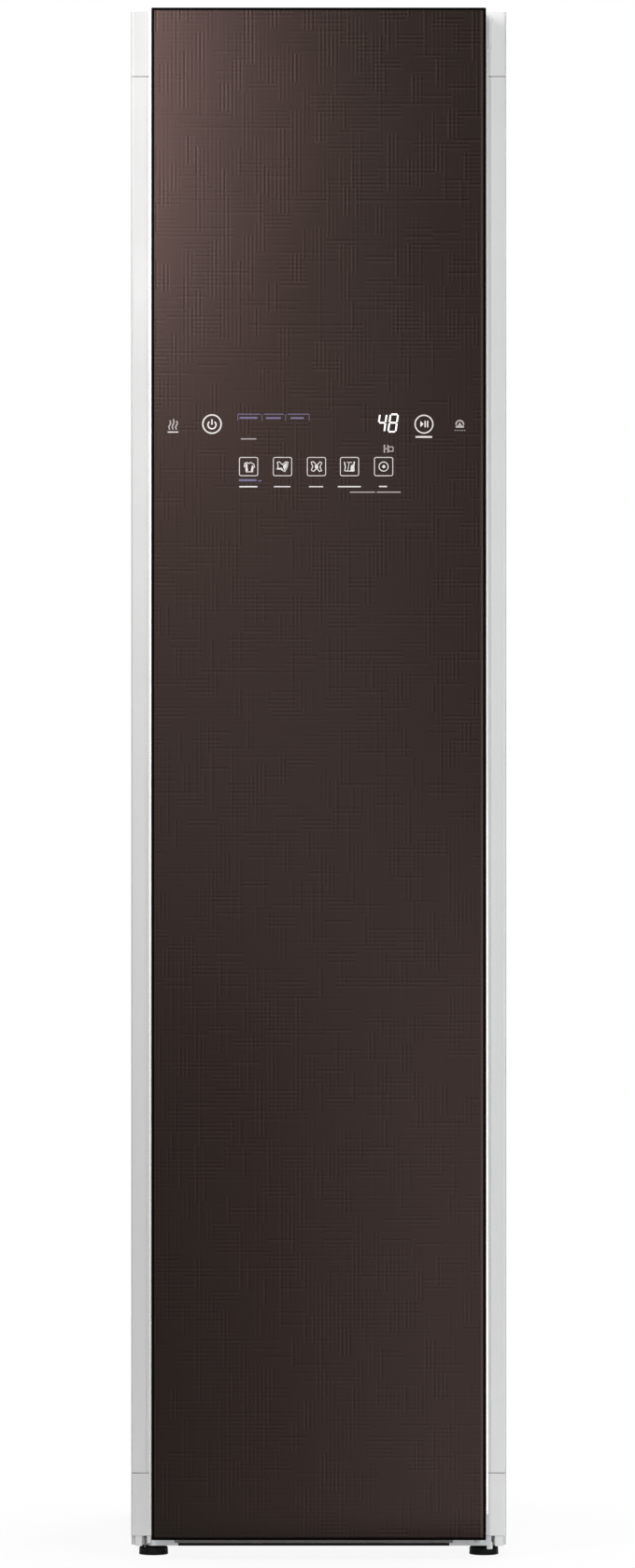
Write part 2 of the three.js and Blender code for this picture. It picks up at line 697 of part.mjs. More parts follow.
// Blower impeller: a hub disc, a cage of curved blades and a shroud ring
const impellerRadius = 46;
const impellerBlades = 13;
const bladeDepth = 11;
const bladeThickness = 1.6;
const impellerRing = 3;
const impellerGap = 5;
const hubRadius = 11;
const hubLength = 20;
function blowerImpeller() {
  const y0 = scrollY[0] + scrollWall + impellerGap;
  const y1 = scrollY[1] - scrollWall - impellerGap;
  const at = [scrollX, scrollZ];
  const inner = impellerRadius - bladeDepth;
  const disc = turnedBack([[0, y1 - impellerRing], [impellerRadius, y1 - impellerRing], [impellerRadius, y1], [0, y1]], at);
  const hub = rodBack(hubRadius, at, [y1 - hubLength, y1]);
  const ring = turnedBack(
    [[inner, y0], [impellerRadius, y0], [impellerRadius, y0 + impellerRing], [inner, y0 + impellerRing], [inner, y0]],
    at,
  );
  const blades = Array.from({ length: impellerBlades }, (_, index) => {
    const blade = new THREE.Shape();
    const half = bladeThickness / 2;
    blade.moveTo(inner + seat, -half);
    blade.quadraticCurveTo(inner + bladeDepth / 2, bladeThickness, impellerRadius - seat, -half * 2);
    blade.lineTo(impellerRadius - seat, half);
    blade.quadraticCurveTo(inner + bladeDepth / 2, bladeThickness * 2, inner + seat, half);
    blade.closePath();
    const solid = runBack(blade, [y0 + impellerRing / 2, y1 - impellerRing / 2], 2);
    return solid.rotateY((index / impellerBlades) * 2 * Math.PI).translate(at[0], 0, at[1]);
  });
  const bore = rodBack(blowerShaftRadius + seat, at, [y1 - hubLength + impellerRing, y1 + cutOverrun]);
  return cut(join(disc, hub, ring, ...blades), bore);
}

// Blower motor: a ribbed can behind the scroll, its nose in the shaft hole and its shaft in the hub
const blowerMotorRadius = 36;
const blowerMotorLength = 42;
const motorRibs = 8;
const motorRibRaise = 2.5;
function blowerMotor() {
  const at = [scrollX, scrollZ];
  const y0 = scrollY[1];
  const y1 = y0 + blowerMotorLength;
  const chamfer = motorRibRaise * 2;
  const hubEnd = scrollY[1] - scrollWall - impellerGap - hubLength + impellerRing * 2;
  const can = turnedBack(
    [
      [0, hubEnd],
      [blowerShaftRadius, hubEnd],
      [blowerShaftRadius, y0 - scrollWall],
      [motorNoseRadius, y0 - scrollWall],
      [motorNoseRadius, y0],
      [blowerMotorRadius, y0],
      [blowerMotorRadius, y1 - chamfer],
      [blowerMotorRadius - chamfer, y1],
      [0, y1],
    ],
    at,
  );
  const ribs = Array.from({ length: motorRibs }, (_, index) => {
    const reach = [blowerMotorRadius - motorRibRaise, blowerMotorRadius + motorRibRaise];
    const rib = span([-bladeThickness, bladeThickness], [y0 + chamfer, y1 - chamfer], reach);
    return rib.rotateY((index / motorRibs) * 2 * Math.PI).translate(at[0], 0, at[1]);
  });
  return join(can, ...ribs);
}

// Compressor: a domed welded shell on a foot plate with three rubber-bushed legs
const compressorSideInset = 90;
const compressorBackGap = 85.5;
const compressorAt = [compressorSideInset - halfWidth, backSkinY - compressorBackGap];
const compressorRadius = 52;
const compressorHeight = 150;
const compressorFoot = 62;
const compressorLift = 12;
const compressorSeam = 2.5;
function compressor() {
  const z0 = baseClearance + baseSheet + compressorLift;
  const z1 = z0 + compressorHeight;
  const seam = (z0 + z1) / 2;
  const shell = turned(
    [
      [0, z0],
      [compressorFoot, z0],
      [compressorFoot, z0 + compressorSeam],
      [compressorRadius - compressorLift, z0 + compressorSeam],
      [compressorRadius, z0 + compressorLift],
      [compressorRadius, seam - compressorSeam],
      [compressorRadius + compressorSeam, seam - compressorSeam],
      [compressorRadius + compressorSeam, seam],
      [compressorRadius, seam],
      [compressorRadius, z1 - compressorLift * 2],
      [compressorRadius * 0.8, z1 - compressorLift],
      [compressorRadius * 0.4, z1],
      [0, z1],
    ],
    compressorAt,
  );
  const legs = [0, 1, 2].map((index) => {
    const angle = (index / 3) * 2 * Math.PI + Math.PI / 2;
    const reach = compressorFoot - compressorLift;
    const at = [compressorAt[0] + reach * Math.cos(angle), compressorAt[1] + reach * Math.sin(angle)];
    return post(compressorLift / 1.5, at, [baseClearance + baseSheet, z0 + compressorSeam], pinSides);
  });
  return join(shell, ...legs);
}

// Heat exchanger: two end plates that stand on the base, a comb of fins between them on a header
// plate, and the return bends' stubs outside the plates
const coilSideInset = 65;
const coilNearX = 12;
const coilX = [coilSideInset - halfWidth, -coilNearX];
const coilHeight = 205;
const coilFloor = 45;
const coilPlate = 2;
const finCount = 10;
const finThickness = 1.4;
const coilTubeRadius = 5;
const coilRows = 4;
const coilFrontGap = 10;
const coilSpacing = 20;
const evaporatorDepth = 44;
const condenserDepth = 56;
const evaporatorY = [faceY + bayDepth + coilFrontGap, faceY + bayDepth + coilFrontGap + evaporatorDepth];
const condenserY = [evaporatorY[1] + coilSpacing, evaporatorY[1] + coilSpacing + condenserDepth];
function heatExchanger(y) {
  const z = [baseClearance + baseSheet, baseClearance + baseSheet + coilHeight];
  const finZ = [coilFloor, z[1] - coilPlate * 2];
  const ends = [
    span([coilX[0], coilX[0] + coilPlate], y, z),
    span([coilX[1] - coilPlate, coilX[1]], y, z),
  ];
  const middle = (y[0] + y[1]) / 2;
  const header = span([coilX[0] + coilPlate / 2, coilX[1] - coilPlate / 2], [middle - finThickness, middle + finThickness], finZ);
  const pitch = (coilX[1] - coilX[0]) / (finCount + 1);
  const fins = Array.from({ length: finCount }, (_, index) => {
    const x = coilX[0] + (index + 1) * pitch;
    return span([x - finThickness / 2, x + finThickness / 2], [y[0] + coilPlate, y[1] - coilPlate], finZ);
  });
  const rowPitch = (finZ[1] - finZ[0]) / coilRows;
  const stubs = Array.from({ length: coilRows }, (_, index) => {
    const at = [middle, finZ[0] + (index + 0.5) * rowPitch];
    return [
      rodAcross(coilTubeRadius, at, [coilX[0] - coilTubeRadius, coilX[0] + coilPlate / 2], fluteSides),
      rodAcross(coilTubeRadius, at, [coilX[1] - coilPlate / 2, coilX[1] + coilTubeRadius], fluteSides),
    ];
  });
  return join(...ends, header, ...fins, ...stubs.flat());
}

// Refrigerant pipes between the compressor's top and the two exchangers
const pipeRadius = 4;
const pipeSteps = 16;
const pipeSides = 2;
const pipeRise = 60;
function deliveryPipe() {
  const top = baseClearance + baseSheet + compressorLift + compressorHeight + seat;
  const coilTop = baseClearance + baseSheet + coilHeight;
  const x = coilX[1] + coilTubeRadius + pipeRadius + seat;
  const y = (condenserY[0] + condenserY[1]) / 2;
  const rowPitch = (coilTop - coilPlate * 2 - coilFloor) / coilRows;
  const lowZ = coilFloor + rowPitch / 2 + coilTubeRadius * 2;
  const start = [compressorAt[0] + pipeRadius * 3, compressorAt[1]];
  const points = [
    [start[0], start[1], top],
    [start[0], start[1], top + pipeRise / 2],
    [start[0] + pipeRise, start[1] - pipeRise * 1.2, top + pipeRise * 0.8],
    [x, condenserY[1] + pipeRise / 2, top + pipeRise * 0.8],
    [x, y, coilTop - pipeRise / 3],
    [x, y, lowZ],
  ];
  return bentBar(points, pipeRadius, pipeSteps, pipeSides);
}

function suctionPipe() {
  const top = baseClearance + baseSheet + compressorLift + compressorHeight + seat;
  const x = coilX[0] - coilTubeRadius - pipeRadius - seat;
  const y = (evaporatorY[0] + evaporatorY[1]) / 2;
  const start = [compressorAt[0] - pipeRadius * 3, compressorAt[1]];
  const points = [
    [start[0], start[1], top],
    [start[0], start[1], top + pipeRise / 2],
    [x - pipeRadius * 2, start[1] - pipeRise, top + pipeRise / 2],
    [x - pipeRadius, y + pipeRise, top + pipeRise / 3],
    [x, y, top],
    [x, y, coilFloor + pipeRise / 2],
  ];
  return bentBar(points, pipeRadius, pipeSteps, pipeSides);
}

// Steam generator: a ribbed casting with a heater flange and an outlet spigot
const generatorX = [30, 150];
const generatorFrontGap = 68;
const generatorDepth = 82;
const generatorY = [faceY + bayDepth + generatorFrontGap, faceY + bayDepth + generatorFrontGap + generatorDepth];
const generatorHeight = 62;
const generatorCorner = 10;
const generatorRib = 3;
const generatorRibs = 5;
const spigotRadius = 9;
const spigotHeight = 16;
const hoseRadius = 11;
function generatorSpigot() {
  return [generatorX[0] + spigotRadius * 2, generatorY[1] - spigotRadius * 2];
}
function steamGenerator() {
  const z = [baseClearance + baseSheet, baseClearance + baseSheet + generatorHeight];
  const body = raise(roundedOutline(generatorX, generatorY, generatorCorner), z);
  const lip = [z[1] / 2 + z[0] / 2 - generatorRib / 2, z[1] / 2 + z[0] / 2 + generatorRib / 2];
  const wideX = [generatorX[0] - generatorRib, generatorX[1] + generatorRib];
  const wideY = [generatorY[0] - generatorRib, generatorY[1] + generatorRib];
  const flange = raise(roundedOutline(wideX, wideY, generatorCorner), lip);
  const pitch = (generatorX[1] - generatorX[0] - generatorCorner * 4) / generatorRibs;
  const ribs = Array.from({ length: generatorRibs }, (_, index) => {
    const x = generatorX[0] + generatorCorner * 4 + index * pitch;
    const ends = [generatorY[0] + generatorCorner, generatorY[1] - generatorCorner];
    return span([x, x + generatorRib], ends, [z[1] - generatorRib, z[1] + generatorRib]);
  });
  const spigot = post(spigotRadius, generatorSpigot(), [z[0], z[1] + spigotHeight]);
  return join(body, flange, ...ribs, spigot);
}

// Steam hose: a bent rubber hose from the spigot up to the nozzle
function steamHose() {
  const [x, y] = generatorSpigot();
  const low = baseClearance + baseSheet + generatorHeight + spigotHeight + seat;
  const high = liningBottom - nozzleSkirt - seat;
  const bend = hoseRadius * 3;
  const points = [
    [x, y, low],
    [x, y, low + bend],
    [x - bend, y + bend / 2, high - bend * 1.6],
    [nozzleX + bend, nozzleY - bend, high - bend * 1.2],
    [nozzleX, nozzleY, high - bend * 0.7],
    [nozzleX, nozzleY, high],
  ];
  return bentBar(points, hoseRadius, pipeSteps, pipeSides + 1);
}

// Steam nozzle: a collar on the chamber floor with a slotted dome and a spigot below
const nozzleSkirt = 16;
const nozzleCollar = 8;
const nozzleRise = 9;
const nozzleSlots = 3;
const nozzleSlotWidth = 5;
function steamNozzle() {
  const z = chamberFloor + seat;
  const body = turned(
    [
      [0, liningBottom - nozzleSkirt],
      [spigotRadius, liningBottom - nozzleSkirt],
      [spigotRadius, liningBottom - seat],
      [nozzleRadius - seat, liningBottom],
      [nozzleRadius - seat, z],
      [nozzleRadius + nozzleCollar, z],
      [nozzleRadius + nozzleCollar, z + nozzleCollar / 4],
      [nozzleRadius, z + nozzleRise * 0.7],
      [nozzleRadius / 2, z + nozzleRise],
      [0, z + nozzleRise],
    ],
    [nozzleX, nozzleY],
  );
  const pitch = nozzleSlotWidth * 2;
  const slots = Array.from({ length: nozzleSlots }, (_, index) => {
    const x = nozzleX + (index - (nozzleSlots - 1) / 2) * pitch;
    const shape = roundedOutline(
      [x - nozzleSlotWidth / 2, x + nozzleSlotWidth / 2],
      [nozzleY - nozzleRadius * 0.6, nozzleY + nozzleRadius * 0.6],
      nozzleSlotWidth / 3,
    );
    return raise(shape, [z + nozzleCollar / 4, z + nozzleRise + cutOverrun], 2);
  });
  return cut(body, ...slots);
}

// Pumps: a round motor on a cast pump head with an outlet stub
const pumpRadius = 17;
const pumpHeight = 52;
const pumpHeadHeight = 18;
const pumpHeadHalf = 21;
const pumpStubRadius = 5;
const pumpFrontGap = 34;
const pumpPitch = 62;
const waterPumpX = 60;
const waterPumpAt = [waterPumpX, faceY + bayDepth + pumpFrontGap];
const drainPumpAt = [waterPumpX + pumpPitch, waterPumpAt[1]];
function pump(at) {
  const z0 = baseClearance + baseSheet;
  const head = raise(
    roundedOutline(
      [at[0] - pumpHeadHalf, at[0] + pumpHeadHalf],
      [at[1] - pumpHeadHalf, at[1] + pumpHeadHalf],
      pumpStubRadius,
    ),
    [z0, z0 + pumpHeadHeight],
  );
  const top = z0 + pumpHeight;
  const motor = turned(
    [
      [0, z0 + pumpHeadHeight / 2],
      [pumpRadius, z0 + pumpHeadHeight / 2],
      [pumpRadius, top - pumpStubRadius],
      [pumpRadius - pumpStubRadius, top],
      [0, top],
    ],
    at,
  );
  const reach = [at[0], at[0] + pumpHeadHalf + pumpStubRadius * 3];
  const stub = rodAcross(pumpStubRadius, [at[1], z0 + pumpHeadHeight / 2], reach, pinSides);
  return join(head, motor, stub);
}

// Control box: a shallow housing against the right side panel with cooling slots in its lid
const controlDepth = 26;
const controlFrontGap = 180;
const controlLength = 160;
const controlY = [faceY + controlFrontGap, faceY + controlFrontGap + controlLength];
const controlZ = [110, 290];
const controlCorner = 6;
const controlSlots = 4;
function controlBox() {
  const outer = halfWidth - sheet;
  const x = [outer - controlDepth, outer];
  const body = runAcross(roundedOutline(controlY, controlZ, controlCorner), x);
  const pitch = (controlZ[1] - controlZ[0]) / (controlSlots + 2);
  const slots = Array.from({ length: controlSlots }, (_, index) => {
    const z = controlZ[0] + (index + 1.25) * pitch;
    const y = [controlY[0] + controlDepth, controlY[1] - controlDepth];
    const slot = roundedOutline(y, [z, z + controlCorner], controlCorner / 3);
    return runAcross(slot, [x[0] - cutOverrun, x[0] + controlCorner / 2]);
  });
  return cut(body, ...slots);
}

// Lint filter: a tray with a rim on the chamber floor, a mesh basket below and a grip bow on top
const filterRim = 9;
const filterRimHeight = 3;
const filterWall = 2.5;
const filterBars = 6;
const filterBarWidth = 2;
const filterBowRadius = 3.5;
const filterBowRise = 20;
const filterLift = 70;
function lintFilter() {
  const x = [filterX - filterHalfWidth + seat, filterX + filterHalfWidth - seat];
  const y = [filterY[0] + seat, filterY[1] - seat];
  const z = chamberFloor + seat;
  const bottom = chamberFloor - wellDepth + filterRim;
  const rim = raise(
    roundedOutline([x[0] - filterRim, x[1] + filterRim], [y[0] - filterRim, y[1] + filterRim], filterRim / 2),
    [z, z + filterRimHeight],
  );
  const basket = span(x, y, [bottom, z + filterRimHeight / 2]);
  const hollow = span(
    [x[0] + filterWall, x[1] - filterWall],
    [y[0] + filterWall, y[1] - filterWall],
    [bottom + filterWall, z + filterRimHeight + cutOverrun],
  );
  const pitch = (x[1] - x[0] - filterWall * 2) / filterBars;
  const windows = Array.from({ length: filterBars }, (_, index) => {
    const left = x[0] + filterWall + index * pitch + filterBarWidth / 2;
    return span(
      [left, left + pitch - filterBarWidth],
      [y[0] - cutOverrun, y[1] + cutOverrun],
      [bottom + filterWall * 2, z - filterWall * 2],
    );
  });
  const middle = (y[0] + y[1]) / 2;
  const bow = bentBar(
    [
      [x[0] + filterBowRadius + seat, middle, z - filterBowRadius],
      [x[0] + filterRim, middle, z + filterBowRise],
      [x[1] - filterRim, middle, z + filterBowRise],
      [x[1] - filterBowRadius - seat, middle, z - filterBowRadius],
    ],
    filterBowRadius,
    16,
    pipeSides,
  );
  return join(cut(join(rim, basket), hollow, ...windows), bow);
}

// Scent holder: a rimmed well sunk in the chamber floor, with a hinge pin along its rear edge
const scentRim = 7;
const scentDepth = 40;
const scentWall = 2;
const scentPinRadius = 1.5;
const scentFlapThickness = 3;
const scentHingeRise = 6.4;
const scentEar = 5;
function scentHinge() {
  return [scentY[1] + scentRim / 2, chamberFloor + seat + scentHingeRise];
}
function scentHolder() {
  const z = chamberFloor + seat;
  const bottom = chamberFloor - scentDepth;
  const x = [scentX[0] + seat, scentX[1] - seat];
  const y = [scentY[0] + seat, scentY[1] - seat];
  const rim = raise(
    roundedOutline([x[0] - scentRim, x[1] + scentRim], [y[0] - scentRim, y[1] + scentRim * 1.5], scentRim / 2),
    [z, z + scentWall],
  );
  const [pinY, pinZ] = scentHinge();
  const ears = [x[0] - scentRim / 2, x[1] + scentRim / 2 - scentEar].map((left) =>
    span([left, left + scentEar], [pinY - scentWall, pinY + scentWall], [z, pinZ + scentWall]),
  );
  const pin = rodAcross(scentPinRadius, [pinY, pinZ], [x[0] - scentRim / 2, x[1] + scentRim / 2], pinSides);
  const cup = span([x[0] + scentWall, x[1] - scentWall], [y[0] + scentWall, y[1] - scentWall], [
    bottom + scentWall,
    z + scentWall + cutOverrun,
  ]);
  return cut(join(rim, span(x, y, [bottom, z + scentWall]), ...ears, pin), cup);
}

// Scent flap: a slotted lid that turns up about the pin
const scentSlots = 3;
function scentFlap() {
  const [pinY, pinZ] = scentHinge();
  const z0 = chamberFloor + seat + scentWall + seat;
  const x = [scentX[0], scentX[1]];
  const lid = raise(roundedOutline(x, [scentY[0] - scentRim / 2, pinY], scentWall), [z0, z0 + scentFlapThickness]);
  const earGap = scentEar + seat * 2 - scentRim / 2;
  const barrelX = [x[0] + earGap, x[1] - earGap];
  const barrel = rodAcross(scentPinRadius + scentWall, [pinY, pinZ], barrelX, pinSides);
  const bore = rodAcross(scentPinRadius + seat, [pinY, pinZ], [x[0] - scentRim, x[1] + scentRim], pinSides);
  const relief = [x[0] - cutOverrun, x[1] - earGap].map((left) =>
    span([left, left + earGap + cutOverrun], [pinY - scentRim / 2, pinY + scentRim], [z0 - seat, pinZ + scentRim]),
  );
  const pitch = (x[1] - x[0] - scentEar * 2) / scentSlots;
  const slots = Array.from({ length: scentSlots }, (_, index) => {
    const left = x[0] + scentEar + (index + 0.25) * pitch;
    const shape = roundedOutline([left, left + pitch / 2], [scentY[0] + scentEar, scentY[1] - scentEar * 2], scentWall);
    return raise(shape, [z0 - cutOverrun, z0 + scentFlapThickness + cutOverrun], 2);
  });
  return cut(join(lid, barrel), bore, ...relief, ...slots);
}

// Air outlet grille: slanted slats in a frame over the blower's outlet
const grilleRim = 6;
const grilleThickness = 5;
const grilleSlats = 7;
const grilleSlatThickness = 2;
function outletGrille() {
  const [x0, x1] = outletMouthX(scrollWall);
  const z = chamberFloor;
  const frame = raise(
    roundedOutline([x0 - grilleRim, x1 + grilleRim], [scrollY[0] - grilleRim, scrollY[1] + grilleRim], grilleRim / 2),
    [z, z + grilleThickness],
  );
  const mouth = span([x0, x1], [scrollY[0] + scrollWall, scrollY[1] - scrollWall], [z - cutOverrun, z + grilleThickness * 2]);
  const pitch = (scrollY[1] - scrollY[0]) / grilleSlats;
  const slats = Array.from({ length: grilleSlats }, (_, index) => {
    const y = scrollY[0] + (index + 0.3) * pitch;
    const lean = grilleThickness / 2;
    const [low, high] = [z + seat, z + grilleThickness - seat];
    const slat = outline([
      [y, low],
      [y + grilleSlatThickness, low],
      [y + grilleSlatThickness + lean, high],
      [y + lean, high],
    ]);
    return runAcross(slat, [x0 - grilleRim / 2, x1 + grilleRim / 2]);
  });
  return join(cut(frame, mouth), ...slats);
}

// Wire shelf: a rounded frame bar with cross wires, resting on the liner's ledges
const shelfBar = 5;
const shelfWires = 9;
const shelfWire = 3;
const shelfFrontInset = 80;
const shelfBackInset = 40;
const shelfSideGap = 2;
const shelfLift = 60;
function wireShelf() {
  const half = chamberHalfWidth - shelfSideGap;
  const y = [faceY + shelfFrontInset, chamberBackY - shelfBackInset];
  const z = [ledgeZ, ledgeZ + shelfBar];
  const outer = roundedOutline([-half, half], y, chamberCorner);
  const innerHalf = half - shelfBar * 1.6;
  const inner = roundedOutline([-innerHalf, innerHalf], [y[0] + shelfBar, y[1] - shelfBar], chamberCorner - shelfBar);
  const frame = cut(raise(outer, z), raise(inner, [z[0] - cutOverrun, z[1] + cutOverrun]));
  const pitch = (2 * innerHalf) / (shelfWires + 1);
  const wires = Array.from({ length: shelfWires }, (_, index) => {
    const x = -innerHalf + (index + 1) * pitch;
    return span([x - shelfWire / 2, x + shelfWire / 2], [y[0] + shelfBar / 2, y[1] - shelfBar / 2], [z[0] + seat, z[1] - seat]);
  });
  return join(frame, ...wires);
}

// Hanger bar: a round bar with hook notches, hung on two struts that reach up to the yoke
const hangerEndGap = 32;
const hangerHalfLength = chamberHalfWidth - hangerEndGap;
const hangerRadius = 8;
const hangerDrop = 62;
const hangerNotches = 3;
const hangerNotchWidth = 8;
const hangerNotchDepth = 3.5;
const yokeThickness = 6;
const yokeLift = 19;
function hangerBar() {
  const z = chamberCeiling - hangerDrop;
  const bar = rodAcross(hangerRadius, [strutY, z], [-hangerHalfLength, hangerHalfLength]);
  const caps = [-1, 1].map((side) => {
    const ends = [side * hangerHalfLength, side * (hangerHalfLength - hangerNotchWidth)].sort((a, b) => a - b);
    return rodAcross(hangerRadius + hangerNotchDepth, [strutY, z], ends);
  });
  const struts = [-1, 1].map((side) => {
    const x = side * strutX;
    const foot = strutHalf * 1.6;
    const top = liningTop + trayThickness + yokeLift;
    const shape = outline([
      [x - foot, z],
      [x + foot, z],
      [x + strutHalf, z + hangerRadius * 3],
      [x + strutHalf, top],
      [x - strutHalf, top],
      [x - strutHalf, z + hangerRadius * 3],
    ]);
    return runBack(shape, [strutY - strutReach, strutY + strutReach]);
  });
  const pitch = (2 * strutX - strutHalf * 4) / (hangerNotches + 1);
  const places = Array.from({ length: hangerNotches }, (_, index) => (index - (hangerNotches - 1) / 2) * pitch);
  const notches = places.map((x) =>
    span(
      [x - hangerNotchWidth / 2, x + hangerNotchWidth / 2],
      [strutY - hangerRadius * 2, strutY + hangerRadius * 2],
      [z + hangerRadius - hangerNotchDepth, z + hangerRadius * 2],
    ),
  );
  return cut(join(bar, ...caps, ...struts), ...notches);
}

// Drive tray: a pressed plate on the chamber's roof with raised edges and the strut slots
const trayThickness = 3;
const traySideGap = 12;
const trayHalfWidth = chamberHalfWidth - traySideGap;
const trayY = [-110, 140];
const trayLip = 8;
function driveTray() {
  const z = liningTop;
  const floor = raise(roundedOutline([-trayHalfWidth, trayHalfWidth], trayY, chamberCorner), [z, z + trayThickness]);
  const lips = trayY.map((y, index) => {
    const ends = index === 0 ? [y, y + trayThickness] : [y - trayThickness, y];
    return span([chamberCorner - trayHalfWidth, trayHalfWidth - chamberCorner], ends, [z, z + trayThickness + trayLip]);
  });
  return cut(join(floor, ...lips), ...strutSlots([z - cutOverrun, z + trayThickness + cutOverrun], slotClearance));
}

// Guide rail: a polished rod between two end blocks that stand on the tray
const railRadius = 4;
const railOffset = 46;
const railEndInset = 25;
const railHalfLength = trayHalfWidth - railEndInset;
const railBlock = 10;
const railRise = 19;
function railCentre() {
  return liningTop + trayThickness + railRise;
}
function guideRail(side) {
  const y = strutY + side * railOffset;
  const z = railCentre();
  const rod = rodAcross(railRadius, [y, z], [-railHalfLength, railHalfLength], rodSides);
  const blocks = [-railHalfLength, railHalfLength - railBlock].map((x) => {
    const shape = roundedOutline([y - railBlock, y + railBlock], [liningTop + trayThickness, z + railBlock * 0.8], railRadius / 2);
    return runAcross(shape, [x, x + railBlock]);
  });
  return join(rod, ...blocks);
}

// Shaking yoke: a plate on four rail bushes with the crank's cross slot, seated on the struts
const yokeEndGap = 57;
const yokeHalfWidth = railHalfLength - yokeEndGap;
const bushRadius = 8;
const bushLength = 22;
const bushClearance = 0.5;
const crankPinRadius = 5;
const crankPinGap = 2.6;
const yokeRib = 4;
function shakeYoke() {
  const z0 = liningTop + trayThickness + yokeLift;
  const z1 = z0 + yokeThickness;
  const y = [strutY - railOffset, strutY + railOffset];
  const plate = raise(roundedOutline([-yokeHalfWidth, yokeHalfWidth], y, bushRadius), [z0, z1]);
  const bushes = [-1, 1].flatMap((across) =>
    y.map((centre) => {
      const x = [across * yokeHalfWidth, across * (yokeHalfWidth - bushLength)].sort((a, b) => a - b);
      return rodAcross(bushRadius, [centre, railCentre()], x, rodSides);
    }),
  );
  const bores = y.map((centre) =>
    rodAcross(railRadius + bushClearance, [centre, railCentre()], [-yokeHalfWidth - cutOverrun, yokeHalfWidth + cutOverrun], rodSides),
  );
  const slotHalf = crankPinRadius + bushClearance;
  const slotReach = shakeStroke + slotHalf + crankPinGap;
  const slot = roundedOutline(
    [shakeStroke - slotHalf, shakeStroke + slotHalf],
    [strutY - slotReach, strutY + slotReach],
    slotHalf - seat,
  );
  const windows = [-1, 1].map((side) => {
    const x = side < 0 ? [-strutX + strutHalf * 3, -bushRadius] : [strutX - strutHalf * 2.5, strutX - strutHalf * 2];
    return raise(roundedOutline(x, [strutY - railOffset / 2, strutY + railOffset / 2], yokeRib / 2), [z0 - cutOverrun, z1 + cutOverrun]);
  });
  return cut(join(plate, ...bushes), ...bores, raise(slot, [z0 - cutOverrun, z1 + cutOverrun]), windows[0]);
}

// Crank and motor pulleys with the belt round both
const crankRadius = 38;
const motorPulleyRadius = 14;
const pulleyThickness = 12;
const pulleyFlange = 2;
const pulleyGroove = 2;
const beltThickness = 1.5;
const motorAt = [112, 98];
const crankShaftRadius = 5;
const shaftClearance = 0.3;
const crankLift = 7;
function pulleyBottom() {
  return liningTop + trayThickness + yokeLift + yokeThickness + crankLift;
}
function pulleyProfile(radius, z0) {
  const z1 = z0 + pulleyThickness;
  return [
    [0, z0],
    [radius + pulleyGroove, z0],
    [radius + pulleyGroove, z0 + pulleyFlange],
    [radius, z0 + pulleyFlange + pulleyGroove / 2],
    [radius, z1 - pulleyFlange - pulleyGroove / 2],
    [radius + pulleyGroove, z1 - pulleyFlange],
    [radius + pulleyGroove, z1],
    [0, z1],
  ];
}

// Crank pulley: its eccentric pin stands over the yoke's slot, and a boss turns in the bridge
const crankWindows = 3;
function crankPulley() {
  const z0 = pulleyBottom();
  const wheel = turned(pulleyProfile(crankRadius, z0), [0, strutY], roundSegments + fluteSides);
  const bosses = post(crankShaftRadius, [0, strutY], [z0, bridgeBottom() + bridgeThickness]);
  const pin = post(crankPinRadius, [shakeStroke, strutY], [z0 - crankLift + crankPinGap, z0 + pulleyFlange]);
  const windows = Array.from({ length: crankWindows }, (_, index) => {
    const angle = ((index + 0.5) / crankWindows) * 2 * Math.PI;
    const reach = crankRadius * 0.62;
    const at = [reach * Math.cos(angle), strutY + reach * Math.sin(angle)];
    return post(crankRadius * 0.17, at, [z0 + pulleyFlange, z0 + pulleyThickness + cutOverrun], pinSides);
  });
  return cut(join(wheel, bosses, pin), ...windows);
}

function motorPulley() {
  const z0 = pulleyBottom();
  const wheel = turned(pulleyProfile(motorPulleyRadius, z0), motorAt);
  const bore = post(crankShaftRadius / 2 + shaftClearance, motorAt, [z0 - cutOverrun, z0 + pulleyThickness + cutOverrun], rodSides);
  return cut(wheel, bore);
}

// Belt: a flat loop of two arcs and two tangents
function driveBelt() {
  const z = [pulleyBottom() + pulleyFlange + pulleyGroove / 2, pulleyBottom() + pulleyThickness - pulleyFlange - pulleyGroove / 2];
  const inset = seat * 2;
  const loop = (extra) => {
    const big = crankRadius + seat + extra;
    const small = motorPulleyRadius + seat + extra;
    const dx = motorAt[0];
    const dy = motorAt[1] - strutY;
    const distance = Math.hypot(dx, dy);
    const heading = Math.atan2(dy, dx);
    const wrap = Math.acos((big - small) / distance);
    const shape = new THREE.Shape();
    shape.absarc(0, strutY, big, heading + wrap, heading - wrap + 2 * Math.PI);
    shape.absarc(motorAt[0], motorAt[1], small, heading - wrap, heading + wrap);
    return shape;
  };
  const ends = [z[0] + inset, z[1] - inset];
  const hole = raise(loop(0), [z[0] - cutOverrun, z[1] + cutOverrun], pinSides);
  return cut(raise(loop(beltThickness), ends, pinSides), hole);
}

// Drive motor: a finned can on a square foot, its shaft up through the motor pulley
const driveMotorRadius = 26;
const driveMotorFoot = 30;
const driveMotorFootHeight = 4;
function driveMotor() {
  const z0 = liningTop + trayThickness;
  const z1 = pulleyBottom() - seat * 3;
  const foot = raise(
    roundedOutline(
      [motorAt[0] - driveMotorFoot, motorAt[0] + driveMotorFoot],
      [motorAt[1] - driveMotorFoot, motorAt[1] + driveMotorFoot],
      driveMotorFootHeight,
    ),
    [z0, z0 + driveMotorFootHeight],
  );
  const can = post(driveMotorRadius, motorAt, [z0, z1]);
  const shaft = post(crankShaftRadius / 2, motorAt, [z0, pulleyBottom() + pulleyThickness + pulleyFlange], rodSides);
  return join(foot, can, shaft);
}

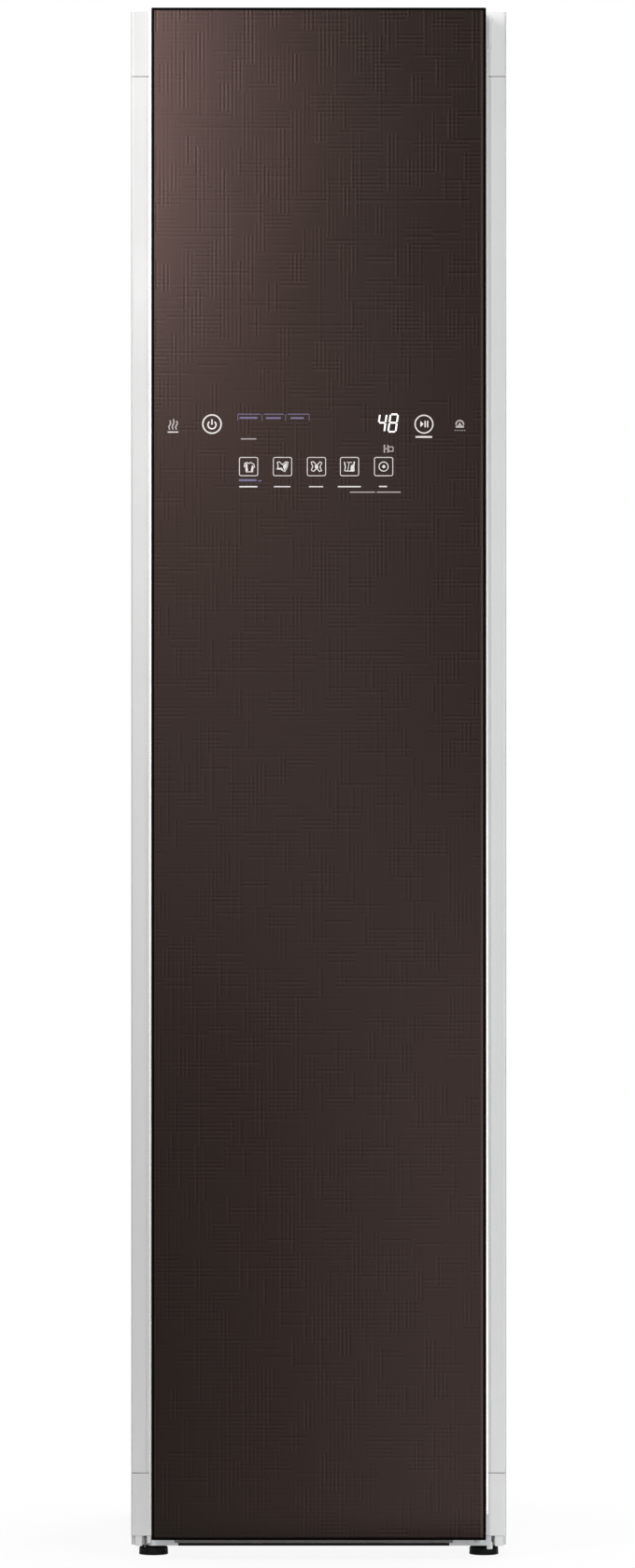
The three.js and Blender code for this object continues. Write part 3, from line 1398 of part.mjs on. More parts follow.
// Pulley bridge: a plate on two legs that stand on the tray and holds the crank's shaft
const bridgeThickness = 4;
const bridgeHalfWidth = 22;
const bridgeLeg = 6;
const bridgeGap = 3;
const bridgeReachY = 74;
const bridgeBearing = 11;
function bridgeBottom() {
  return pulleyBottom() + pulleyThickness + bridgeGap;
}
function pulleyBridge() {
  const z0 = liningTop + trayThickness;
  const z1 = bridgeBottom() + bridgeThickness;
  const y = [strutY - bridgeReachY, strutY + bridgeReachY];
  const inner = [
    [y[0] + bridgeLeg, z0],
    [y[0] + bridgeLeg, bridgeBottom() - bridgeLeg],
    [y[0] + bridgeLeg * 2, bridgeBottom()],
    [y[1] - bridgeLeg * 2, bridgeBottom()],
    [y[1] - bridgeLeg, bridgeBottom() - bridgeLeg],
    [y[1] - bridgeLeg, z0],
  ];
  const shape = outline([[y[0], z1], [y[0], z0], ...inner, [y[1], z0], [y[1], z1]]);
  const plate = runAcross(shape, [-bridgeHalfWidth, bridgeHalfWidth]);
  const bore = post(crankShaftRadius + shaftClearance, [0, strutY], [bridgeBottom() - cutOverrun, z1 + cutOverrun]);
  const lighten = [-1, 1].map((side) => {
    const at = [0, strutY + side * (bridgeReachY + bridgeBearing) * 0.5];
    return post(bridgeBearing * 0.8, at, [bridgeBottom() - cutOverrun, z1 + cutOverrun], rodSides);
  });
  return cut(plate, bore, ...lighten);
}

// Door glass: a sheet with fine bevels round both faces
function doorGlass() {
  const x = [-doorHalf + glassBevel, doorHalf - glassBevel];
  const z = [doorBottom + glassBevel, doorTop - glassBevel];
  const shape = outline([[x[0], z[0]], [x[1], z[0]], [x[1], z[1]], [x[0], z[1]]]);
  const settings = {
    depth: glassThickness - 2 * glassBevel,
    bevelEnabled: true,
    bevelThickness: glassBevel,
    bevelSize: glassBevel,
    bevelSegments: 1,
  };
  const turn = new THREE.Matrix4().makeBasis(unitX, unitZ, unitY.clone().negate());
  return new THREE.ExtrudeGeometry(shape, settings).applyMatrix4(turn).translate(0, glassBackY - glassBevel, 0);
}

// Sizes that the door's frame and liner share
const rimHalf = doorHalf - glassOverhang;
const rimZ = [doorBottom + glassOverhang, doorTop - glassOverhang];
const skinFrontY = doorBackY - doorBackSkin;
const hingeArmBottom = doorTop - hingeArmThickness * 3;
const hingeBlockHeight = hingePinLength + hingeArmThickness;

// Pocket at the door's top right corner that the upper hinge's arm swings in
function hingePocket() {
  const reach = hingeArmRadius + pocketSideClearance;
  return span(
    [hingeX - reach, doorHalf + cutOverrun],
    [hingeY - reach, doorBackY + cutOverrun],
    [hingeArmBottom - pocketClearance, doorTop + cutOverrun],
  );
}

// Door frame: a deep ring behind the glass with a grip channel in its left side, two ribs round the
// display board and a block for each hinge pin
function doorFrame() {
  const y = [glassBackY, skinFrontY];
  const outer = roundedOutline([-rimHalf, rimHalf], rimZ, glassBevel * 2);
  const inner = roundedOutline(
    [-rimHalf + doorWall, rimHalf - doorWall],
    [rimZ[0] + doorWall, rimZ[1] - doorWall],
    doorWall,
  );
  const ring = cut(runBack(outer, y), runBack(inner, [y[0] - cutOverrun, y[1] + cutOverrun]));
  const boardRibs = [-1, 1].map((side) => {
    const z = boardCentreZ + side * (boardHeight / 2 + seat + doorWall / 4);
    return span([-rimHalf + doorWall / 2, rimHalf - doorWall / 2], y, [z - doorWall / 4, z + doorWall / 4]);
  });
  const gripZ = [gripHeight - gripLength / 2, gripHeight + gripLength / 2];
  const gripBlock = span(
    [-rimHalf, -rimHalf + gripDepth + doorWall],
    [y[1] - gripMouth - doorWall * 2, y[1]],
    [gripZ[0] - doorWall, gripZ[1] + doorWall],
  );
  const middle = y[1] - doorWall - gripMouth / 2;
  const channel = new THREE.Shape();
  channel.moveTo(-rimHalf - cutOverrun, middle - gripMouth / 2);
  channel.lineTo(-rimHalf + gripDepth / 2, middle - gripMouth / 2);
  channel.quadraticCurveTo(-rimHalf + gripDepth, middle - gripMouth / 2, -rimHalf + gripDepth, middle);
  channel.quadraticCurveTo(-rimHalf + gripDepth, middle + gripMouth / 2, -rimHalf + gripDepth / 2, middle + gripMouth / 2);
  channel.lineTo(-rimHalf - cutOverrun, middle + gripMouth / 2);
  channel.closePath();
  const pocketBottom = hingeArmBottom - pocketClearance;
  const blockX = [hingeX - hingePlateHalf, rimHalf];
  const blockY = [hingeY - hingePlateHalf, hingeY + hingePlateHalf];
  const blocks = [
    span(blockX, blockY, [pocketBottom - hingeBlockHeight, pocketBottom]),
    span(blockX, blockY, [rimZ[0], rimZ[0] + hingeBlockHeight]),
  ];
  const bore = hingePinRadius + hingePinClearance;
  const bores = [
    post(bore, [hingeX, hingeY], [pocketBottom - hingeBlockHeight - cutOverrun, pocketBottom + cutOverrun]),
    post(bore, [hingeX, hingeY], [rimZ[0] - cutOverrun, rimZ[0] + hingeBlockHeight + cutOverrun]),
  ];
  return cut(join(ring, ...boardRibs, gripBlock, ...blocks), raise(channel, gripZ), hingePocket(), ...bores);
}

// Door liner: a skin over the door's back with a raised pan that plugs the chamber's mouth
const plugZ = [chamberFloor + plugInset, chamberCeiling - plugInset];
const plugHalf = chamberHalfWidth - plugInset;
const plugFaceY = doorBackY + plugHeight;
function doorLiner() {
  const skin = runBack(outline([[-rimHalf, rimZ[0]], [rimHalf, rimZ[0]], [rimHalf, rimZ[1]], [-rimHalf, rimZ[1]]]), [
    skinFrontY,
    doorBackY,
  ]);
  const pan = runBack(roundedOutline([-plugHalf, plugHalf], plugZ, plugCorner), [skinFrontY, plugFaceY]);
  const hollow = roundedOutline(
    [-plugHalf + plugWall, plugHalf - plugWall],
    [plugZ[0] + plugWall, plugZ[1] - plugWall],
    plugCorner - plugWall,
  );
  return cut(join(skin, pan), runBack(hollow, [skinFrontY - cutOverrun, plugFaceY - plugWall]), hingePocket());
}

// Door gasket: a stepped ring round the chamber and the tank bay with a bar between them
function doorGasket() {
  const outerHalf = hingeX - seat;
  const outerZ = [pillarBottom + seamGap + gasketWidth / 2, pillarTop - seamGap - gasketWidth / 2];
  const barCentre = (bayTop + chamberFloor) / 2;
  const layer = (inset, y) => {
    const width = gasketWidth - inset * 2;
    const half = outerHalf - inset;
    const z = [outerZ[0] + inset, outerZ[1] - inset];
    const corner = gasketWidth - inset;
    const ring = cut(
      runBack(roundedOutline([-half, half], z, corner), y),
      runBack(roundedOutline([-half + width, half - width], [z[0] + width, z[1] - width], inset + seat), [
        y[0] - cutOverrun,
        y[1] + cutOverrun,
      ]),
    );
    const bar = span([-half + width / 2, half - width / 2], y, [barCentre - width / 2, barCentre + width / 2]);
    return join(ring, bar);
  };
  const step = doorBackY + doorGap / 2;
  return join(layer(0, [doorBackY, step]), layer(gasketWidth / 5, [step, faceY - gasketSqueeze]));
}

// Display board: a circuit board behind the glass with three raised modules
const moduleHalf = 22;
const moduleRaise = 6;
const modulePitch = 90;
function displayBoard() {
  const z = [boardCentreZ - boardHeight / 2, boardCentreZ + boardHeight / 2];
  const y = [glassBackY, glassBackY + boardThickness];
  const board = span([-boardHalfWidth, boardHalfWidth], y, z);
  const modules = [-1, 0, 1].map((index) => {
    const x = index * modulePitch;
    const shape = roundedOutline([x - moduleHalf, x + moduleHalf], [boardCentreZ - moduleHalf, boardCentreZ + moduleHalf], moduleRaise / 2);
    return runBack(shape, [y[0] + boardThickness / 2, y[1] + moduleRaise]);
  });
  return join(board, ...modules);
}

// Hinge arm seen from above: a round eye about the pin and a straight tail to its plate
function hingeArm(tailY, z) {
  const shape = new THREE.Shape();
  shape.absarc(hingeX, hingeY, hingeArmRadius, Math.PI, 2 * Math.PI);
  shape.lineTo(hingeX + hingeArmRadius, tailY);
  shape.lineTo(hingeX - hingeArmRadius, tailY);
  shape.closePath();
  return raise(shape, z, eyeSegments);
}

// Upper hinge: an arm from the upper front frame into the door's pocket, with a pin that points down
function upperHinge() {
  const z = [hingeArmBottom, hingeArmBottom + hingeArmThickness];
  const plateX = [hingeX - hingePlateHalf, hingeX + hingePlateHalf];
  const plate = roundedOutline(plateX, [z[1] - hingePlateHeight, z[1]], hingeArmThickness);
  const thickness = hingeArmThickness * 0.75;
  const pin = post(hingePinRadius, [hingeX, hingeY], [z[0] - hingePinLength, z[1]]);
  return join(hingeArm(faceY - thickness / 2, z), runBack(plate, [faceY - thickness, faceY]), pin);
}

// Lower hinge: an arm from the base rail under the door, with a pin that points up
function lowerHinge() {
  const z = [doorBottom - hingeArmThickness - seat, doorBottom - seat];
  const plateX = [hingeX - hingePlateHalf, hingeX + hingePlateHalf];
  const railFrontY = faceY + sheet;
  const thickness = hingeArmThickness * 0.75;
  const plate = outline([
    [plateX[0], baseClearance + seat],
    [plateX[1], baseClearance + seat],
    [plateX[1], z[1]],
    [plateX[0], z[1]],
  ]);
  const pin = post(hingePinRadius, [hingeX, hingeY], [z[0], doorBottom + hingePinLength]);
  return join(hingeArm(railFrontY - thickness / 2, z), runBack(plate, [railFrontY - thickness, railFrontY]), pin);
}

// Trouser press: a grooved base board on the door's plug, with lugs, hinge pins and a closing magnet
const pressHalf = 118;
const pressZ = [700, 1360];
const pressCorner = 18;
const pressBaseThickness = 9;
const pressPanelThickness = 12;
const pressGap = 1.5;
const pressAxisReach = 6;
const pressLug = 12;
const pressLugGap = 1;
const pressBarrel = 5;
const pressPin = 2;
const pressWeb = 3;
const pressCreases = 4;
const pressCreaseWidth = 8;
const pressCreaseDepth = 2;
const magnetRadius = 6;
const magnetDepth = 3;
const magnetInset = 16;
const pressBaseY = plugFaceY + pressBaseThickness;
const pressPanelY = [pressBaseY + pressGap, pressBaseY + pressGap + pressPanelThickness];
const pressAxis = [pressHalf + pressAxisReach, (pressPanelY[0] + pressPanelY[1]) / 2];
function pressBase() {
  const board = runBack(roundedOutline([-pressHalf, pressHalf], pressZ, pressCorner), [plugFaceY, pressBaseY]);
  const lugs = [[pressZ[0], pressZ[0] + pressLug], [pressZ[1] - pressLug, pressZ[1]]].map((z) => {
    const x = [pressHalf - pressCorner, pressAxis[0] + pressBarrel];
    return span(x, [plugFaceY, pressPanelY[0] - pressGap / 2], z);
  });
  const ears = [[pressZ[0], pressZ[0] + pressLug], [pressZ[1] - pressLug, pressZ[1]]].map((z) => {
    const x = [pressAxis[0] - pressBarrel, pressAxis[0] + pressBarrel];
    return span(x, [plugFaceY, pressAxis[1] + pressBarrel], z);
  });
  const pins = [
    post(pressPin, pressAxis, [pressZ[0] + pressLug / 2, pressZ[0] + pressLug * 2], pinSides),
    post(pressPin, pressAxis, [pressZ[1] - pressLug * 2, pressZ[1] - pressLug / 2], pinSides),
  ];
  const pitch = (2 * pressHalf - pressCorner * 2) / pressCreases;
  const grooves = Array.from({ length: pressCreases }, (_, index) => {
    const x = (index - (pressCreases - 1) / 2) * pitch;
    const shape = roundedOutline(
      [x - pressCreaseWidth / 2, x + pressCreaseWidth / 2],
      [pressZ[0] + pressCorner, pressZ[1] - pressCorner],
      pressCreaseWidth / 3,
    );
    return runBack(shape, [pressBaseY - pressCreaseDepth, pressBaseY + cutOverrun], 2);
  });
  const magnetAt = [magnetInset - pressHalf, (pressZ[0] + pressZ[1]) / 2];
  const magnet = rodBack(magnetRadius, magnetAt, [pressBaseY - magnetDepth, pressBaseY + pressGap / 2]);
  return join(cut(join(board, ...lugs, ...ears, ...pins), ...grooves.slice(1)), magnet);
}

// Press panel: a rounded board with a raised border, a web and a hinge barrel on the right
function pressPanel() {
  const right = pressHalf - pressCorner / 2 - pressWeb;
  const board = runBack(roundedOutline([-pressHalf, right], pressZ, pressCorner), pressPanelY);
  const field = roundedOutline(
    [-pressHalf + pressCorner, right - pressCorner],
    [pressZ[0] + pressCorner, pressZ[1] - pressCorner],
    pressCorner / 2,
  );
  const recess = runBack(field, [pressPanelY[1] - pressCreaseDepth * 2, pressPanelY[1] + cutOverrun]);
  const barrelZ = [pressZ[0] + pressLug + pressLugGap, pressZ[1] - pressLug - pressLugGap];
  const web = span([right - pressWeb, pressAxis[0]], [pressAxis[1] - pressWeb, pressAxis[1] + pressWeb], barrelZ);
  const barrel = post(pressBarrel, pressAxis, barrelZ, rodSides);
  const bore = post(pressPin + seat, pressAxis, [pressZ[0], pressZ[1]], pinSides);
  return cut(join(cut(board, recess), web, barrel), bore);
}

// One named mesh
function piece(name, geometry, material) {
  const mesh = new THREE.Mesh(geometry, material.clone());
  mesh.name = name;
  return mesh;
}

const cabinet = new THREE.Group();
cabinet.add(
  piece("left_side_panel", sidePanel(-1), steelGrey),
  piece("right_side_panel", sidePanel(1), steelGrey),
  piece("left_front_trim", frontPillar(-1), pillarGrey),
  piece("right_front_trim", frontPillar(1), pillarGrey),
  piece("upper_front_frame", frontFrame(pillarTop, cabinetHeight), pillarGrey),
  piece("lower_front_frame", frontFrame(frameBottom, pillarBottom), pillarGrey),
  piece("top_cover", topCover(), steelGrey),
  piece("back_panel", backPanel(), galvanised),
  piece("base_frame", baseFrame(), galvanised),
  piece("cable_inlet", cableInlet(), darkPlastic),
  piece("inner_liner", innerLiner(), linerWhite),
  piece("ceiling_cover", ceilingCover(), palePlastic),
  piece("lamp_lens", lampLens(), lampLensWhite),
  piece("shelf", wireShelf(), brightSteel),
  piece("upper_hinge", upperHinge(), galvanised),
  piece("lower_hinge", lowerHinge(), galvanised),
);

const feet = new THREE.Group();
feet.add(
  piece("foot_front_left", levellingFoot([-footX, footFrontY]), blackRubber),
  piece("foot_front_right", levellingFoot([footX, footFrontY]), blackRubber),
  piece("foot_back_left", levellingFoot([-footX, footBackY]), blackRubber),
  piece("foot_back_right", levellingFoot([footX, footBackY]), blackRubber),
);

const drive = new THREE.Group();
drive.add(
  piece("drive_tray", driveTray(), galvanised),
  piece("guide_rail_front", guideRail(-1), brightSteel),
  piece("guide_rail_back", guideRail(1), brightSteel),
  piece("shake_yoke", shakeYoke(), aluminium),
  piece("hanger_bar", hangerBar(), brightSteel),
  piece("crank_pulley", crankPulley(), greyPlastic),
  piece("motor_pulley", motorPulley(), brightSteel),
  piece("drive_belt", driveBelt(), blackRubber),
  piece("drive_motor", driveMotor(), blackPaint),
  piece("pulley_bridge", pulleyBridge(), galvanised),
);

const machine = new THREE.Group();
machine.add(
  piece("tank_bay", tankBay(), palePlastic),
  piece("fill_tank", waterTank(-1), tankPlastic),
  piece("fill_tank_cap", tankCap(-1), greyPlastic),
  piece("drain_tank", waterTank(1), tankPlastic),
  piece("drain_tank_cap", tankCap(1), greyPlastic),
  piece("lint_filter", lintFilter(), greyPlastic),
  piece("scent_holder", scentHolder(), palePlastic),
  piece("scent_flap", scentFlap(), greyPlastic),
  piece("outlet_grille", outletGrille(), palePlastic),
  piece("steam_nozzle", steamNozzle(), greyPlastic),
  piece("steam_hose", steamHose(), greyRubber),
  piece("steam_generator", steamGenerator(), aluminium),
  piece("blower_housing", blowerHousing(), darkPlastic),
  piece("blower_impeller", blowerImpeller(), greyPlastic),
  piece("blower_motor", blowerMotor(), blackPaint),
  piece("compressor", compressor(), blackPaint),
  piece("evaporator", heatExchanger(evaporatorY), aluminium),
  piece("condenser", heatExchanger(condenserY), aluminium),
  piece("suction_pipe", suctionPipe(), copper),
  piece("delivery_pipe", deliveryPipe(), copper),
  piece("water_pump", pump(waterPumpAt), darkPlastic),
  piece("drain_pump", pump(drainPumpAt), darkPlastic),
  piece("control_box", controlBox(), palePlastic),
);

const door = new THREE.Group();
door.add(
  piece("door_glass", doorGlass(), darkGlass),
  piece("door_frame", doorFrame(), darkPlastic),
  piece("door_liner", doorLiner(), linerWhite),
  piece("door_gasket", doorGasket(), greyRubber),
  piece("display_board", displayBoard(), boardGreen),
  piece("press_base", pressBase(), palePlastic),
  piece("press_panel", pressPanel(), pressFabric),
);

const steamCabinet = new THREE.Group();
steamCabinet.add(cabinet, feet, drive, machine, door);

export default steamCabinet;
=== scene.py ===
import json
import math

import bmesh
import bpy
from mathutils import Matrix, Vector


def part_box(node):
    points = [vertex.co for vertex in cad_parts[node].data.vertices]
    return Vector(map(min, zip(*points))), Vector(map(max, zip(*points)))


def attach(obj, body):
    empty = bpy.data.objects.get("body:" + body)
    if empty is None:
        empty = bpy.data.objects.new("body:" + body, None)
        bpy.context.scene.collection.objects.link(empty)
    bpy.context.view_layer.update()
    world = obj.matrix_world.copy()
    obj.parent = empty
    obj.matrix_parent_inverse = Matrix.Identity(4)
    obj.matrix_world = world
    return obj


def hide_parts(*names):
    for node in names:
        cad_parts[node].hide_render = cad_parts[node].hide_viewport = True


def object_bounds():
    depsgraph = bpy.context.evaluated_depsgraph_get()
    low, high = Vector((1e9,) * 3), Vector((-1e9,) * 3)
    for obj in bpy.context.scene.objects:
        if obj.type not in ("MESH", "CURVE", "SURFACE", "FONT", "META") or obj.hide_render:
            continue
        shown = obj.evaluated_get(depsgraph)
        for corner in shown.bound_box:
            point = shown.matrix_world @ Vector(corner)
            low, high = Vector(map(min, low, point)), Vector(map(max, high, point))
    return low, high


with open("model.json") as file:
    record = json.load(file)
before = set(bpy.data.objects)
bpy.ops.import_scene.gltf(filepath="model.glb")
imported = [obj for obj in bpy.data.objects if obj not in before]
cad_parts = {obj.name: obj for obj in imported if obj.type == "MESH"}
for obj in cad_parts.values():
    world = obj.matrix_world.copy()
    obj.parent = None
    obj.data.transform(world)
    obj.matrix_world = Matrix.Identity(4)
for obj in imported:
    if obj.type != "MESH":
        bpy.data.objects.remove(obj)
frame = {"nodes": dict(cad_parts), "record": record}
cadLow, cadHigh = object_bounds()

nodes = frame["nodes"]
scene = bpy.context.scene
doorFront = cadLow.y
print("frame loaded:", len(nodes), "nodes")

# the camera that took the photograph; pixels lie on the plane of the door's front
photo = {
    "width": 680, "height": 1678,
    "metresPerPixel": 0.0011131,
    "centreColumn": 341.3,         # column of the object's middle
    "horizonRow": 828.2,           # row at the camera's own height
    "cameraHeight": 0.937,
    "distance": 8.654,             # from the door's front
    "sensor": 36,                  # millimetres
    "farthest": 60,                # metres
}


def photoX(column):
    return (column - photo["centreColumn"]) * photo["metresPerPixel"]


def photoZ(row):
    return photo["cameraHeight"] - (row - photo["horizonRow"]) * photo["metresPerPixel"]


def addCamera():
    lens = bpy.data.cameras.new("photoCamera")
    lens.sensor_fit = "AUTO"
    lens.sensor_width = photo["sensor"]
    lens.lens = photo["sensor"] * photo["distance"] / (photo["height"] * photo["metresPerPixel"])
    lens.shift_x = (photo["width"] / 2 - photo["centreColumn"]) / photo["height"]
    lens.shift_y = -(photo["height"] / 2 - photo["horizonRow"]) / photo["height"]
    lens.clip_end = photo["farthest"]
    camera = bpy.data.objects.new("photoCamera", lens)
    camera.location = (0, doorFront - photo["distance"], photo["cameraHeight"])
    camera.rotation_euler = (math.pi / 2, 0, 0)
    scene.collection.objects.link(camera)
    scene.camera = camera


addCamera()
scene.view_settings.view_transform = "Standard"

# where each lamp stands and looks, its size in metres and its power in watts
white = (1, 1, 1)
lamps = {
    "keyLeft": {"at": (-1.30, -1.85, 2.25), "aim": (-0.1, -0.2, 1.45), "size": (0.8, 0.8), "power": 30},
    "fillRight": {"at": (1.3, -1.9, 1.0), "aim": (0.1, -0.2, 0.95), "size": (0.8, 1.9), "power": 20},
    "backSoft": {"at": (0.9, 2.7, 2.4), "aim": (0, 0.2, 0.9), "size": (1.6, 1.8), "power": 60},
    "topSoft": {"at": (0, 0.3, 4.2), "aim": (0, 0, 0.9), "size": (2.4, 2.4), "power": 17},
    # three soft panes that the door glass mirrors
    "sheenHigh": {"at": (-0.814, -8.7, 2.70), "aim": (-0.814, 0, 2.70), "size": (0.57, 1.40), "power": 150},
    "sheenMiddle": {"at": (-0.245, -8.7, 1.26), "aim": (-0.245, 0, 1.26), "size": (1.12, 1.52), "power": 17},
    "sheenLow": {"at": (0.78, -8.7, -0.44), "aim": (0.78, 0, -0.44), "size": (1.53, 2.38), "power": 46},
}
lampColors = {"keyLeft": (1.0, 1.0, 0.99), "fillRight": (0.98, 0.99, 1.0)}


def addLamp(name, values):
    light = bpy.data.lights.new(name, "AREA")
    light.shape = "RECTANGLE"
    light.size, light.size_y = values["size"]
    light.energy = values["power"]
    light.color = lampColors.get(name, white)
    lamp = bpy.data.objects.new(name, light)
    lamp.location = values["at"]
    look = Vector(values["aim"]) - Vector(values["at"])
    lamp.rotation_euler = look.to_track_quat("-Z", "Y").to_euler()
    lamp.visible_camera = False
    scene.collection.objects.link(lamp)


for name, values in lamps.items():
    addLamp(name, values)


# shader nodes
class Signal:
    # what a node puts out; each sum, product or step adds the next node
    def __init__(self, tree, socket):
        self.tree = tree
        self.socket = socket

    def math(self, operation, *others, clamp=False):
        given = dict(enumerate((self, *others)))
        return newNode(self.tree, "Math", given, 0, operation=operation, use_clamp=clamp)

    def __add__(self, other):
        return self.math("ADD", other)

    def __sub__(self, other):
        return self.math("SUBTRACT", other)

    def __mul__(self, other):
        return self.math("MULTIPLY", other)

    def ramp(self, low, high, toLow=0.0, toHigh=1.0, kind="SMOOTHSTEP"):
        given = {"Value": self, "From Min": low, "From Max": high, "To Min": toLow, "To Max": toHigh}
        return newNode(self.tree, "MapRange", given, "Result", interpolation_type=kind)

    def noise(self, scale, detail=2.0, rough=0.5):
        given = {"Vector": self, "Scale": scale, "Detail": detail, "Roughness": rough}
        return newNode(self.tree, "TexNoise", given, "Fac")

    def blend(self, first, second):
        # the two colours go into the sockets 6 and 7
        return newNode(self.tree, "Mix", {"Factor": self, 6: first, 7: second}, 2, data_type="RGBA")

    def bump(self, distance):
        return newNode(self.tree, "Bump", {"Strength": 1.0, "Distance": distance, "Height": self}, "Normal")

    def parts(self):
        node = self.tree.nodes.new("ShaderNodeSeparateXYZ")
        feedAll(self.tree, node, {"Vector": self})
        return [Signal(self.tree, socket) for socket in node.outputs]


def feedAll(tree, node, given):
    # a signal is linked, a number or colour is set
    for label, value in given.items():
        socket = node.inputs[label]
        if isinstance(value, Signal):
            tree.links.new(value.socket, socket)
        else:
            socket.default_value = (*value, 1) if socket.type == "RGBA" else value


def newNode(tree, kind, given, output=0, **settings):
    node = tree.nodes.new("ShaderNode" + kind)
    for label, value in settings.items():
        setattr(node, label, value)
    feedAll(tree, node, given)
    return Signal(tree, node.outputs[output]) if node.outputs else None


def objectPlace(tree):
    return newNode(tree, "TexCoord", {}, "Object")


def stretched(tree, factors):
    return newNode(tree, "Mapping", {"Vector": objectPlace(tree), "Scale": factors})


def seenStraight(tree):
    # one where the camera looks, a reflection or a view through something clear included, none for given light
    path = tree.nodes.new("ShaderNodeLightPath").outputs
    seen = [Signal(tree, path["Is " + kind + " Ray"]) for kind in ("Camera", "Glossy", "Transmission")]
    return (seen[0] + seen[1]).math("ADD", seen[2], clamp=True)


def newMaterial(name):
    material = bpy.data.materials.new(name)
    material.use_nodes = True
    tree = material.node_tree
    return material, tree, tree.nodes["Principled BSDF"]


# meshes
def meshObject(name, bm, finishList, smoothAngle=None):
    bmesh.ops.recalc_face_normals(bm, faces=bm.faces[:])
    mesh = bpy.data.meshes.new(name)
    bm.to_mesh(mesh)
    bm.free()
    for material in finishList:
        mesh.materials.append(material)
    if smoothAngle is not None:
        mesh.polygons.foreach_set("use_smooth", [True] * len(mesh.polygons))
        mesh.set_sharp_from_angle(angle=math.radians(smoothAngle))
    piece = bpy.data.objects.new(name, mesh)
    scene.collection.objects.link(piece)
    return piece


def addPiece(name, bm, body, slotName, smoothAngle=None, finishList=None, replaced=None):
    piece = meshObject(name, bm, finishList or [materials[slotName]], smoothAngle)
    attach(piece, body)
    if replaced:
        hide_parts(replaced)


# the surroundings look plain white and give a soft, faintly blue light
studio = {
    "floorX": (-0.9, 0.9), "floorY": (-0.62, 1.0), "paper": (0.96, 0.96, 0.96), "paperRough": 0.85,
    "shadowReach": (0.30, 0.58),   # from here to there the paper turns plain white
    "shadowShare": (0.90, 1.0),
    "worldStrength": 0.16, "worldColor": (0.93, 0.95, 1.0),
}


def buildWorld():
    world = bpy.data.worlds.new("studioWorld")
    scene.world = world
    world.use_nodes = True
    tree = world.node_tree
    tree.nodes.clear()
    soft = newNode(tree, "Background", {"Color": studio["worldColor"], "Strength": studio["worldStrength"]})
    plain = newNode(tree, "Background", {"Color": white, "Strength": 1})
    both = newNode(tree, "MixShader", {"Fac": seenStraight(tree), 1: soft, 2: plain})
    newNode(tree, "OutputWorld", {"Surface": both})


def buildFloor():
    # a sheet of white paper that stays partly lit near the feet, so that it shows their shadow
    left, right = studio["floorX"]
    near, far = studio["floorY"]
    corners = ((left, near), (right, near), (right, far), (left, far))
    bm = bmesh.new()
    bm.faces.new([bm.verts.new((x, y, 0.0)) for x, y in corners])
    material, tree, shader = newMaterial("palePaper")
    feedAll(tree, shader, {"Base Color": studio["paper"], "Roughness": studio["paperRough"]})
    glow = newNode(tree, "Emission", {"Color": white, "Strength": 1})
    away = newNode(tree, "VectorMath", {0: objectPlace(tree)}, "Value", operation="LENGTH")
    fade = away.ramp(*studio["shadowReach"], *studio["shadowShare"], kind="LINEAR")
    lit = Signal(tree, shader.outputs["BSDF"])
    both = newNode(tree, "MixShader", {"Fac": seenStraight(tree) * fade, 1: lit, 2: glow})
    feedAll(tree, tree.nodes["Material Output"], {"Surface": both})
    meshObject("studioFloor", bm, [material])


buildWorld()
buildFloor()
print("studio ready")

groups = {}


def newGroup(name, inputs, outputs):
    # inputs and outputs are all single numbers
    group = bpy.data.node_groups.new(name, "ShaderNodeTree")
    groups[name] = group
    for label, value in inputs.items():
        socket = group.interface.new_socket(name=label, in_out="INPUT", socket_type="NodeSocketFloat")
        socket.default_value = value
    for label in outputs:
        group.interface.new_socket(name=label, in_out="OUTPUT", socket_type="NodeSocketFloat")
    given = group.nodes.new("NodeGroupInput").outputs
    made = group.nodes.new("NodeGroupOutput")
    return group, [Signal(group, given[label]) for label in inputs], made


def useGroup(tree, name, wanted, **values):
    node = tree.nodes.new("ShaderNodeGroup")
    node.node_tree = groups[name]
    feedAll(tree, node, values)
    return [Signal(tree, node.outputs[label]) for label in wanted]


def buildPaintPeel():
    # sprayed or moulded skin: fine orange peel, broad unevenness
    group, (scale, unevenness), made = newGroup("paintPeel", {"Scale": 900.0, "Unevenness": 1.0}, ("Height", "Tone"))
    place = objectPlace(group)
    patch = (place.noise(9.0, 3.0) - 0.5) * unevenness
    feedAll(group, made, {"Height": place.noise(scale), "Tone": patch.math("ADD", 0.5, clamp=True)})


def buildBrushing(name, factors):
    # drawn or brushed metal: long fine lines
    group, (scale,), made = newGroup(name, {"Scale": 60.0}, ("Height", "Tone"))
    place = stretched(group, factors)
    fine = place.noise(scale, 4.0, 0.65)
    feedAll(group, made, {"Height": fine, "Tone": place.noise(scale * 0.23) * 0.5 + fine * 0.5})


def buildZincSpangle():
    # dipped zinc: flat crystals of slightly different brightness
    group, (scale,), made = newGroup("zincSpangle", {"Scale": 90.0}, ("Height", "Tone"))
    place = objectPlace(group)
    cells = newNode(group, "TexVoronoi", {"Vector": place, "Scale": scale}, "Color")
    flake = newNode(group, "SeparateColor", {"Color": cells}, "Red")
    feedAll(group, made, {"Height": place.noise(400.0), "Tone": flake})


def buildDustFilm():
    # a thin film of dust that gathers on faces that look up
    group, (amount,), made = newGroup("dustFilm", {"Amount": 0.2}, ("Dust",))
    upward = newNode(group, "NewGeometry", {}, "Normal").parts()[2]
    cloud = objectPlace(group).noise(14.0, 5.0, 0.65).ramp(0.35, 0.75)
    feedAll(group, made, {"Dust": (upward.ramp(0.3, 1.0) * cloud).math("MULTIPLY", amount, clamp=True)})


